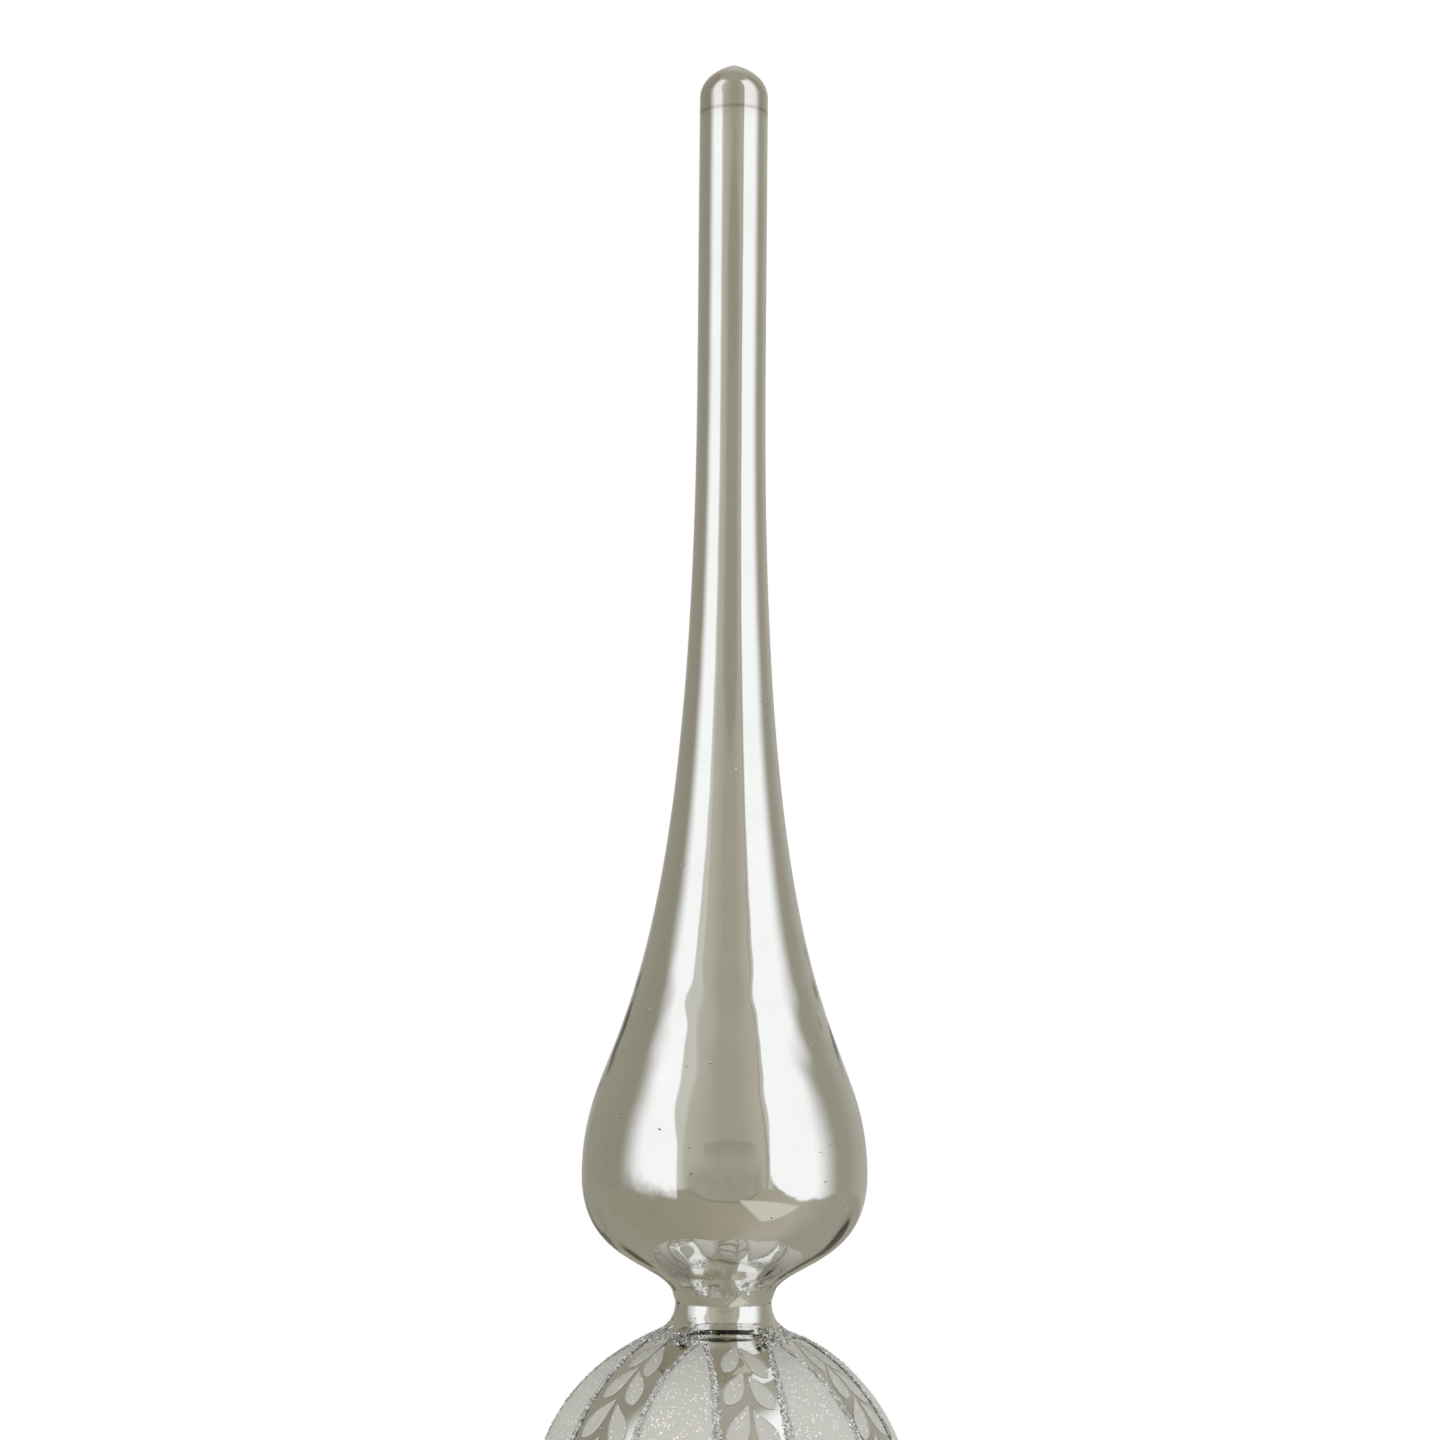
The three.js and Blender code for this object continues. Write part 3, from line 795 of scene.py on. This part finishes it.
def make_petal(index, azimuth):
    azimuths, latitudes, across = frost_grid(azimuth)
    crown = FROST_HEIGHT * (1 - 0.6 * np.abs(across) ** 4)
    points, faces = slab_on_ball(azimuths, latitudes, crown)
    frost = new_piece(f"petal_frost_coat_{index}", points, faces, petal_material)
    settle(frost, "glass", "frost", f"petal_frost_{index}")

    rows, columns = azimuths.shape
    sheet = new_piece("sheet", on_ball(azimuths, latitudes, crown).reshape(-1, 3),
                      grid_faces(rows, columns), None)
    sparkle = flaked(f"petal_sparkle_{index}", sheet, np.ones(rows * columns), pearl_flakes,
                     per_mm2=0.55, width=0.14, thickness=0.03, stand=0.01, tilt=0.6, seed=100 + index)
    settle(sparkle, "glass", "frost")


def petal_edge(azimuth, angle, growth, height):
    """Points round a petal's edge, grown sideways by growth and raised by height."""
    share = np.sin(angle)
    latitude = petal_middle + share * (petal_reach + growth / BALL_RADIUS)
    half = petal_half_angle(np.clip(share, -1, 1)) * (1 + growth / (PETAL_WIDTH / 2))
    return on_ball(azimuth + np.sign(np.cos(angle)) * half, latitude, height)


def edge_band(azimuth, growths, heights, stations=180):
    """A grid of points along a petal's edge, one row for each station round it."""
    angle = (np.arange(stations) + 0.5)[:, None] * TURN / stations
    return petal_edge(azimuth, angle, np.asarray(growths)[None, :], np.asarray(heights)[None, :])


def make_glitter_line(index, azimuth):
    """The raised glue line round a petal and the flakes laid on it."""
    section = np.linspace(0, TURN, 13)[:-1]
    growths = 0.5 * LINE_WIDTH * 0.85 * np.cos(section)
    heights = 0.01 + LINE_HEIGHT * np.maximum(np.sin(section), 0)
    points = edge_band(azimuth, growths, heights)
    rows, columns = points.shape[:2]
    faces = [f[::-1] for f in grid_faces(rows, columns, wrap_rows=True, wrap_columns=True)]
    glue = new_piece(f"petal_glue_{index}", points.reshape(-1, 3), faces, glue_material)
    settle(glue, "glass", "silver_glitter", f"petal_bead_{index}")

    spread = np.linspace(-1, 1, 9)
    points = edge_band(azimuth, 0.62 * LINE_WIDTH * spread, LINE_HEIGHT * (1 - spread ** 2))
    faces = grid_faces(rows, len(spread), wrap_rows=True)
    strip = new_piece("strip", points.reshape(-1, 3), faces, None)
    cover = np.tile(1 - 0.75 * np.abs(spread) ** 3, rows)
    flakes = flaked(f"petal_glitter_{index}", strip, cover, silver_flakes,
                    per_mm2=7.5, width=0.4, thickness=0.06, stand=0.04, tilt=0.75, seed=200 + index)
    settle(flakes, "glass", "silver_glitter")


def make_leaves(index, azimuth):
    """Leaves in pairs down the bare glass between two petals."""
    share, across = np.meshgrid(np.linspace(0, 1, 17), np.linspace(-1, 1, 7), indexing="ij")
    half = LEAF_WIDTH / 2 * np.maximum(np.sin(math.pi * share ** 1.5), 0) ** 0.72 + 0.03
    points, faces = [], []
    for pair in range(LEAF_PAIRS):
        for side in (-1, 1):
            turned = side * (LEAF_TILT + 0.10 * math.sin(5.1 * pair + 2.3 * index))
            length = LEAF_LENGTH * (1 + 0.06 * math.sin(3.7 * pair + side + index))
            root = pair * leaf_pitch + 0.5 * side
            x = side * 0.35 + share * length * math.sin(turned) + across * half * math.cos(turned)
            y = root + share * length * math.cos(turned) - across * half * math.sin(turned)
            latitude = spray_start - y / BALL_RADIUS
            turn = azimuth + x / BALL_RADIUS / np.cos(latitude) ** (1 - SPRAY_TAPER)
            more, quads = slab_on_ball(turn[::-1], latitude[::-1], LEAF_HEIGHT * (1 - 0.4 * across ** 2))
            faces += [tuple(v + sum(map(len, points)) for v in q) for q in quads]
            points.append(more)
    spray = new_piece(f"laurel_leaves_{index}", np.concatenate(points), faces, leaf_material)
    settle(spray, "glass", "frost", f"leaf_spray_{index}")


def ring_sheet(line, segments=96):
    """An open sheet turned round the axis, to lay flakes on."""
    angles = np.arange(segments) * TURN / segments
    grid = np.stack([
        line[:, :1] * np.sin(angles), -line[:, :1] * np.cos(angles),
        np.repeat(line[:, 1:], segments, 1),
    ], 2)
    faces = grid_faces(len(line), segments, wrap_columns=True)
    return new_piece("sheet", grid.reshape(-1, 3), faces, None), angles


def make_rings():
    """Glitter where the lines meet at the neck and at the socket."""
    low = neck_glitter_latitude - 2.2 / BALL_RADIUS
    line = np.concatenate([
        arc((0, ball_z), BALL_RADIUS, low, neck_join, 8),
        arc(neck_centre, NECK_FILLET, math.pi + neck_join, math.pi + math.radians(38), 8)[1:],
    ])
    sheet, angles = ring_sheet(line)
    rise = smooth_step(line[:, 1], line[0, 1], line[5, 1]) * (1 - smooth_step(
        line[:, 1], line[-4, 1], line[-1, 1]))
    bare_front = smooth_step(np.abs(np.angle(np.exp(1j * (angles - math.radians(8))))), 0.25, 0.75)
    nearest = np.abs(np.angle(np.exp(1j * (angles[:, None] - PETAL_AZIMUTHS)))).min(1)
    patchy = 1 - 0.75 * smooth_step(nearest, 0.15, 0.42)
    cover = rise[:, None] * (bare_front * patchy)[None, :]
    neck = flaked("neck_glitter_flakes", sheet, cover.ravel(), silver_flakes,
                  per_mm2=6.0, width=0.42, thickness=0.06, stand=0.05, tilt=0.8, seed=31)
    settle(neck, "glass", "silver_glitter", "neck_glitter")

    line = np.concatenate([
        arc(socket_centre, SOCKET_FILLET, math.pi - 0.15, math.pi - socket_join, 8),
        arc((0, ball_z), BALL_RADIUS, -socket_join, waist_glitter_latitude, 8)[1:],
    ])
    sheet, angles = ring_sheet(line)
    rise = smooth_step(line[:, 1], line[0, 1], line[6, 1])
    cover = rise[:, None] * np.ones(len(angles))[None, :]
    waist = flaked("waist_glitter_flakes", sheet, cover.ravel(), silver_flakes,
                   per_mm2=4.5, width=0.42, thickness=0.06, stand=0.05, tilt=0.8, seed=37)
    settle(waist, "glass", "silver_glitter", "waist_glitter")


def make_stray_flakes():
    """Single flakes that strayed on to the bare glass."""
    outline = glass_outline()
    line = outline[(outline[:, 1] > socket_top) & (outline[:, 1] < tip_z)][::6]
    sheet, angles = ring_sheet(line)
    above_ball = line[:, 1] - ball_z
    thin_out = 1.0 * (above_ball < 36) + 0.2 * np.exp(-np.maximum(above_ball - 36, 0) / 45)
    cover = np.clip(thin_out, 0, 1)[:, None] * np.ones(len(angles))[None, :]
    strays = flaked("stray_flakes", sheet, cover.ravel(), silver_flakes,
                    per_mm2=0.09, width=0.3, thickness=0.05, stand=0.03, tilt=0.5, seed=53)
    settle(strays, "glass", "silver_glitter")


# ------------------------------------------------------------------ collar and spring

COLLAR_SHEET = 0.5
COLLAR_ROLL = 0.6
LIP_HEIGHT = 2.55
SKIRT_GAP = 0.3
WIRE = 1.0
SPRING_GAP = 0.9
LIP_GAP = 0.5
SPRING_TOP_RADIUS = 7.2
SPRING_TURNS = 6.5
SPRING_FLAT_TURNS = 0.75
SPRING_PITCH = 6.2
TABS = 3
TAB_WIDTH = 3.0
TAB_SHEET = 0.35
TAB_OVERLAP = 0.7

spring_radius = SOCKET_RADIUS - GLASS_WALL - SPRING_GAP - WIRE / 2
lip_radius = spring_radius - WIRE / 2 - LIP_GAP
hole_radius = lip_radius - COLLAR_SHEET
skirt_radius = SOCKET_RADIUS + SKIRT_GAP


def flute(angle, height, radius):
    """Pressed flutes round the skirt, on its outside only."""
    outer = skirt_radius + COLLAR_SHEET
    on_skirt = smooth_step(height, 1.2, 2.0) * (1 - smooth_step(height, collar_top - 2.4, collar_top - 1.6))
    outside = (np.abs(radius - outer) < 0.05) * 1.0
    return -FLUTE_DEPTH * on_skirt * outside * (0.5 - 0.5 * np.cos(FLUTES * angle))


def make_collar():
    outer = skirt_radius + COLLAR_SHEET
    foot = 0.35
    line = np.concatenate([
        arc((hole_radius + foot, foot), foot, math.pi, 1.5 * math.pi, 4),
        arc((outer - foot, foot), foot, -math.pi / 2, 0, 4),
        np.stack([np.full(24, outer), np.linspace(0.6, collar_top - 2 * COLLAR_ROLL - 0.1, 24)], 1),
        arc((outer, collar_top - COLLAR_ROLL), COLLAR_ROLL, -math.pi / 2, math.pi / 2, 8),
        arc((skirt_radius + 0.2, collar_top - 0.2), 0.2, math.pi / 2, math.pi, 3),
        arc((skirt_radius - 0.3, COLLAR_SHEET + 0.3), 0.3, 0, -math.pi / 2, 4),
        arc((lip_radius + 0.2, COLLAR_SHEET + 0.2), 0.2, 1.5 * math.pi, math.pi, 3),
        arc((lip_radius - COLLAR_SHEET / 2, LIP_HEIGHT - COLLAR_SHEET / 2), COLLAR_SHEET / 2, 0, math.pi, 6),
    ])
    collar = spun("pressed_collar", line, FLUTES * 8, aluminium_material, push=flute, closed=True)
    settle(collar, "grip", "collar_aluminium", "rim_collar")

    points, faces = [], []
    rise_angle = SPRING_FLAT_TURNS * TURN
    for i in range(TABS):
        more, quads = collar_tab(rise_angle + i * TURN / TABS)
        faces += [tuple(v + sum(map(len, points)) for v in q) for q in quads]
        points.append(more)
    tabs = new_piece("collar_tabs", np.concatenate(points), faces, aluminium_material)
    settle(tabs, "grip", "collar_aluminium")


def collar_tab(angle):
    """A tongue that rises from the lip and folds out over the spring's bottom coil."""
    end = spring_radius - WIRE / 2 + TAB_OVERLAP
    start = hole_radius + COLLAR_SHEET / 2
    rows, columns = 9, 5
    reach = np.linspace(0, 1, rows)
    rounding = np.maximum(1 - np.maximum(reach - 0.75, 0) ** 2 / 0.075, 0.15)
    across = np.linspace(-1, 1, columns)[None, :] * (TAB_WIDTH / 2 * np.sqrt(rounding))[:, None]
    out = np.repeat((start + (end - start) * reach)[:, None], columns, 1)
    top = np.repeat((LIP_HEIGHT - 0.12 * reach ** 2)[:, None], columns, 1)
    upper = np.stack([across, -out, top], 2).reshape(-1, 3)
    lower = upper - np.array([0, 0, TAB_SHEET])
    cos, sin = math.cos(angle), math.sin(angle)
    turn = np.array([[cos, -sin, 0], [sin, cos, 0], [0, 0, 1]])
    faces = [face[::-1] for face in slab_faces(rows, columns)]
    return np.concatenate([upper, lower]) @ turn.T, faces


def make_spring():
    turn = np.linspace(0, SPRING_TURNS, int(SPRING_TURNS * 48) + 1)
    rising = np.maximum(turn - SPRING_FLAT_TURNS, 0)
    radius = spring_radius + (SPRING_TOP_RADIUS - spring_radius) * rising / rising[-1]
    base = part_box("grip_spring")[0].z / MM + WIRE / 2
    angle = turn * TURN
    points = np.stack([radius * np.sin(angle), -radius * np.cos(angle), base + rising * SPRING_PITCH], 1)
    mesh = bpy.data.meshes.new("spring_line")
    mesh.from_pydata((points * MM).tolist(), [(i, i + 1) for i in range(len(points) - 1)], [])
    line = bpy.data.objects.new("spring_line", mesh)
    bpy.context.scene.collection.objects.link(line)
    spring = grown("wire_spring", line, draw_wire, Wire_Width=WIRE * MM, Sides=14,
                   Material=steel_material)
    settle(spring, "grip", "spring_steel", "grip_spring")


# ------------------------------------------------------------------ studio

def share_of_turn(angle):
    return 0.5 + angle / 360


def raised(nodes, links, value, power, scale, offset):
    """offset + scale * value ** power."""
    return maths(nodes, links, "MULTIPLY_ADD", maths(nodes, links, "POWER", value, power), scale, offset)


def left_box_mask(nodes, links, azimuth, elevation, rough):
    """Tall soft box with a leaning inner edge and a ragged foot, in degrees."""
    lean = eased(nodes, links, elevation, 8, 31, 0.0, 8.9)
    inner = eased(nodes, links, maths(nodes, links, "ADD", azimuth, lean), -40.2, -38.4, 1.0, 0.0)
    outer = eased(nodes, links, azimuth, -97, -68)
    foot_line = maths(nodes, links, "MULTIPLY_ADD", azimuth, -0.174, -22.6)
    over = maths(nodes, links, "SUBTRACT", maths(nodes, links, "ADD", elevation, rough), foot_line)
    foot = eased(nodes, links, over, -5.0, 10.0)
    sides = maths(nodes, links, "MULTIPLY", inner, outer)
    return maths(nodes, links, "MULTIPLY", sides, foot)


def right_box_mask(nodes, links, azimuth, elevation, rough):
    """Tall soft box with a round-cornered foot, in degrees."""
    lean = eased(nodes, links, elevation, 5, 32, 0.0, -2.7)
    inner = eased(nodes, links, maths(nodes, links, "ADD", azimuth, lean), 36.2, 37.6)
    outer = eased(nodes, links, azimuth, 76, 108, 1.0, 0.0)
    near = maths(nodes, links, "MULTIPLY_ADD", azimuth, -1 / 28, 68 / 28)
    far = maths(nodes, links, "MULTIPLY_ADD", azimuth, 1 / 46, -68 / 46)
    near = maths(nodes, links, "MAXIMUM", near, 0)
    far = maths(nodes, links, "MAXIMUM", far, 0)
    away = maths(nodes, links, "ADD", near, far)
    foot_line = raised(nodes, links, away, 2, 12.6, -17.6)
    uneven = maths(nodes, links, "MULTIPLY_ADD", rough, 0.5, elevation)
    over = maths(nodes, links, "SUBTRACT", uneven, foot_line)
    foot = eased(nodes, links, over, -1.2, 1.8)
    sides = maths(nodes, links, "MULTIPLY", inner, outer)
    return maths(nodes, links, "MULTIPLY", sides, foot)


def card_mask(nodes, links, azimuth, elevation):
    """A pale card lying on the table to the right, in degrees."""
    to_left = maths(nodes, links, "MULTIPLY_ADD", elevation, 1.05, azimuth)
    to_right = maths(nodes, links, "MULTIPLY_ADD", elevation, -1.1, azimuth)
    to_top = maths(nodes, links, "MULTIPLY_ADD", azimuth, 0.09, elevation)
    to_foot = maths(nodes, links, "MULTIPLY_ADD", azimuth, 0.06, elevation)
    left = eased(nodes, links, to_left, -7.5, -5.5)
    right = eased(nodes, links, to_right, 90, 93, 1.0, 0.0)
    top = eased(nodes, links, to_top, -17.5, -16, 1.0, 0.0)
    low = eased(nodes, links, to_foot, -45, -42)
    across = maths(nodes, links, "MULTIPLY", left, right)
    return maths(nodes, links, "MULTIPLY", across, maths(nodes, links, "MULTIPLY", top, low))


def studio_world():
    """White behind the glass, and a studio for it to reflect: two tall soft boxes in front
    of olive-grey walls, with a beige table top and a pale card below."""
    world = bpy.data.worlds.new("studio")
    world.use_nodes = True
    bpy.context.scene.world = world
    nodes, links = world.node_tree.nodes, world.node_tree.links
    background = nodes["Background"]
    split = add_node(nodes, "ShaderNodeSeparateXYZ")
    direction = nodes.new("ShaderNodeTexCoord").outputs["Generated"]
    links.new(direction, split.inputs[0])
    forward = maths(nodes, links, "MULTIPLY", split.outputs["Y"], -1.0)
    turned = maths(nodes, links, "ARCTAN2", split.outputs["X"], forward)
    azimuth = maths(nodes, links, "MULTIPLY", turned, math.degrees(1))
    raised_by = maths(nodes, links, "ARCSINE", split.outputs["Z"])
    elevation = maths(nodes, links, "MULTIPLY", raised_by, math.degrees(1))
    share = maths(nodes, links, "MULTIPLY_ADD", azimuth, 1 / 360, 0.5)
    cloud = add_node(nodes, "ShaderNodeTexNoise")
    cloud.inputs["Scale"].default_value = 6.0
    links.new(direction, cloud.inputs["Vector"])
    rough = maths(nodes, links, "MULTIPLY_ADD", cloud.outputs["Fac"], 14.0, -7.0)

    olive, wall = (0.315, 0.30, 0.245), (0.40, 0.385, 0.315)
    belt = colour_stops(nodes, links, share, [(share_of_turn(angle), colour) for angle, colour in (
        (-180, (0.62, 0.61, 0.56)), (-150, (0.36, 0.345, 0.29)), (-110, olive), (-56, olive),
        (-51, (0.64, 0.64, 0.60)), (-36, (0.64, 0.64, 0.60)), (-33, (0.52, 0.505, 0.44)),
        (-24, (0.49, 0.475, 0.41)), (-6, wall), (14, wall), (33, (0.50, 0.485, 0.415)),
        (35, (0.36, 0.34, 0.28)), (36.5, (0.60, 0.60, 0.57)), (44, olive),
        (122, (0.36, 0.345, 0.29)), (180, (0.62, 0.61, 0.56)),
    )], "LINEAR")
    mottled = blend_colours(nodes, links, cloud.outputs["Fac"], (0.30, 0.28, 0.22), (0.42, 0.40, 0.33))
    centre = eased(nodes, links, maths(nodes, links, "ABSOLUTE", azimuth), 26, 34, 1.0, 0.0)
    low_middle = eased(nodes, links, elevation, -4, 7, 1.0, 0.0)
    shade = maths(nodes, links, "MULTIPLY", centre, low_middle)
    walls = blend_colours(nodes, links, maths(nodes, links, "MULTIPLY", shade, 0.75), belt, mottled)

    beside = maths(nodes, links, "ABSOLUTE", maths(nodes, links, "SUBTRACT", azimuth, 4))
    depth = maths(nodes, links, "MULTIPLY_ADD", elevation, -9.0, 9.0 * 15.9)
    inside = eased(nodes, links, maths(nodes, links, "SUBTRACT", depth, beside), 0.0, 3.0)
    shallow = eased(nodes, links, elevation, 4.0, 13.0)
    wedge = maths(nodes, links, "MULTIPLY", maths(nodes, links, "MULTIPLY", inside, shallow), centre)
    narrow = eased(nodes, links, beside, 18, 24, 0.32, 0.0)
    walls = blend_colours(nodes, links, maths(nodes, links, "MULTIPLY", wedge, narrow), walls,
                          (0.22, 0.205, 0.16))

    off_axis = maths(nodes, links, "ABSOLUTE", maths(nodes, links, "SUBTRACT", azimuth, 1))
    rise = raised(nodes, links, maths(nodes, links, "MULTIPLY", off_axis, 1 / 31), 3.0, 12.5, -20.5)
    table_line = maths(nodes, links, "MINIMUM", rise, -9)
    under = maths(nodes, links, "SUBTRACT", table_line, elevation)
    table = colour_stops(nodes, links, share, [(share_of_turn(angle), colour) for angle, colour in (
        (-180, (0.36, 0.34, 0.28)), (-70, (0.31, 0.30, 0.225)), (-30, (0.35, 0.33, 0.255)),
        (0, (0.39, 0.36, 0.28)), (30, (0.44, 0.405, 0.33)), (62, (0.52, 0.49, 0.43)),
        (100, (0.38, 0.36, 0.30)), (180, (0.36, 0.34, 0.28)),
    )], "LINEAR")
    patched = blend_colours(nodes, links, 0.3, table, mottled)
    with_table = blend_colours(nodes, links, eased(nodes, links, under, -0.8, 1.6), walls, patched)
    near_line = eased(nodes, links, maths(nodes, links, "ABSOLUTE", under), 0.2, 1.3, 0.45, 0.0)
    outline = maths(nodes, links, "MULTIPLY", near_line, centre)
    outlined = blend_colours(nodes, links, outline, with_table, (0.14, 0.13, 0.10))
    card = card_mask(nodes, links, azimuth, elevation)
    with_card = blend_colours(nodes, links, card, outlined, (0.66, 0.64, 0.58))

    glow = (1.10, 1.13, 1.17)
    left = left_box_mask(nodes, links, azimuth, elevation, rough)
    right = right_box_mask(nodes, links, azimuth, elevation, rough)
    boxes = maths(nodes, links, "MAXIMUM", left, right)
    with_boxes = blend_colours(nodes, links, boxes, with_card, glow)
    ceiling = eased(nodes, links, elevation, 56, 68)
    room = blend_colours(nodes, links, ceiling, with_boxes, (0.42, 0.41, 0.36))

    path = nodes.new("ShaderNodeLightPath")
    bounced = maths(nodes, links, "SUBTRACT", path.outputs["Ray Depth"], path.outputs["Transmission Depth"])
    straight = maths(nodes, links, "LESS_THAN", bounced, 1.5)
    seen = blend_colours(nodes, links, straight, room, (1.0, 1.0, 1.0))
    links.new(seen, background.inputs["Color"])


def soft_light(name, place, aim, size, power):
    """A soft area light that lights matt surfaces but doesn't show in the glass."""
    data = bpy.data.lights.new(name, "AREA")
    data.shape = "DISK"
    data.size = size
    data.energy = power
    lamp = bpy.data.objects.new(name, data)
    lamp.location = place
    lamp.rotation_euler = (Vector(aim) - Vector(place)).to_track_quat("-Z", "Y").to_euler()
    lamp.visible_camera = False
    lamp.visible_glossy = False
    lamp.visible_transmission = False
    bpy.context.scene.collection.objects.link(lamp)


def table_top():
    """A plain pale round table top that fades out towards its edge."""
    material, nodes, links, shader = new_material("table_top")
    place = nodes.new("ShaderNodeTexCoord").outputs["Object"]
    reach = add_node(nodes, "ShaderNodeVectorMath", operation="LENGTH")
    links.new(place, reach.inputs[0])
    fade = eased(nodes, links, reach.outputs["Value"], 0.25, 0.58, 1.0, 0.0)
    mottle = placed_group(nodes, slow_mottle, Scale=12.0, Contrast=0.5)
    links.new(blend_colours(nodes, links, mottle.outputs[0], (0.86, 0.855, 0.84), (0.90, 0.895, 0.88)),
              shader.inputs["Base Color"])
    shader.inputs["Roughness"].default_value = 0.7
    links.new(fade, shader.inputs["Alpha"])
    angles = np.arange(96) * TURN / 96
    radius = 590.0
    rim = np.stack([radius * np.sin(angles), -radius * np.cos(angles), np.full(96, -0.05)], 1)
    top = new_piece("table_top", rim, [tuple(range(96))], material, smooth=False)
    top.visible_glossy = False
    top.visible_transmission = False


def camera():
    """About 0.6 m away, level with the neck and looking a little up, as for a close portrait."""
    data = bpy.data.cameras.new("camera")
    data.lens = 80
    data.sensor_width = 36
    eye = bpy.data.objects.new("camera", data)
    distance = 0.600
    off_axis = -0.0016
    height = (ball_z + 94.0) * MM
    look_up = math.radians(5.0)
    roll = math.radians(0.516)
    eye.location = (off_axis, -distance, height)
    eye.rotation_mode = "XYZ"
    aim = Vector((0, math.cos(look_up), math.sin(look_up)))
    turn = aim.to_track_quat("-Z", "Y").to_matrix().to_4x4()
    eye.rotation_euler = (turn @ Matrix.Rotation(roll, 4, "Z")).to_euler()
    bpy.context.scene.collection.objects.link(eye)
    bpy.context.scene.camera = eye


# ------------------------------------------------------------------ the whole piece

camera()
studio_world()
bpy.context.scene.view_settings.view_transform = "Standard"
soft_light("left_fill", (-0.7, -0.8, 0.55), (0, 0, 0.1), 0.6, 1.6)
soft_light("right_fill", (0.8, -0.7, 0.6), (0, 0, 0.1), 0.6, 1.6)
soft_light("top_fill", (0.0, 0.1, 1.1), (0, 0, 0), 0.9, 3.0)
table_top()

make_glass()
for number, (petal, spray) in enumerate(zip(PETAL_AZIMUTHS, spray_azimuths), start=1):
    make_petal(number, petal)
    make_glitter_line(number, petal)
    make_leaves(number, spray)
make_rings()
make_stray_flakes()
make_collar()
make_spring()
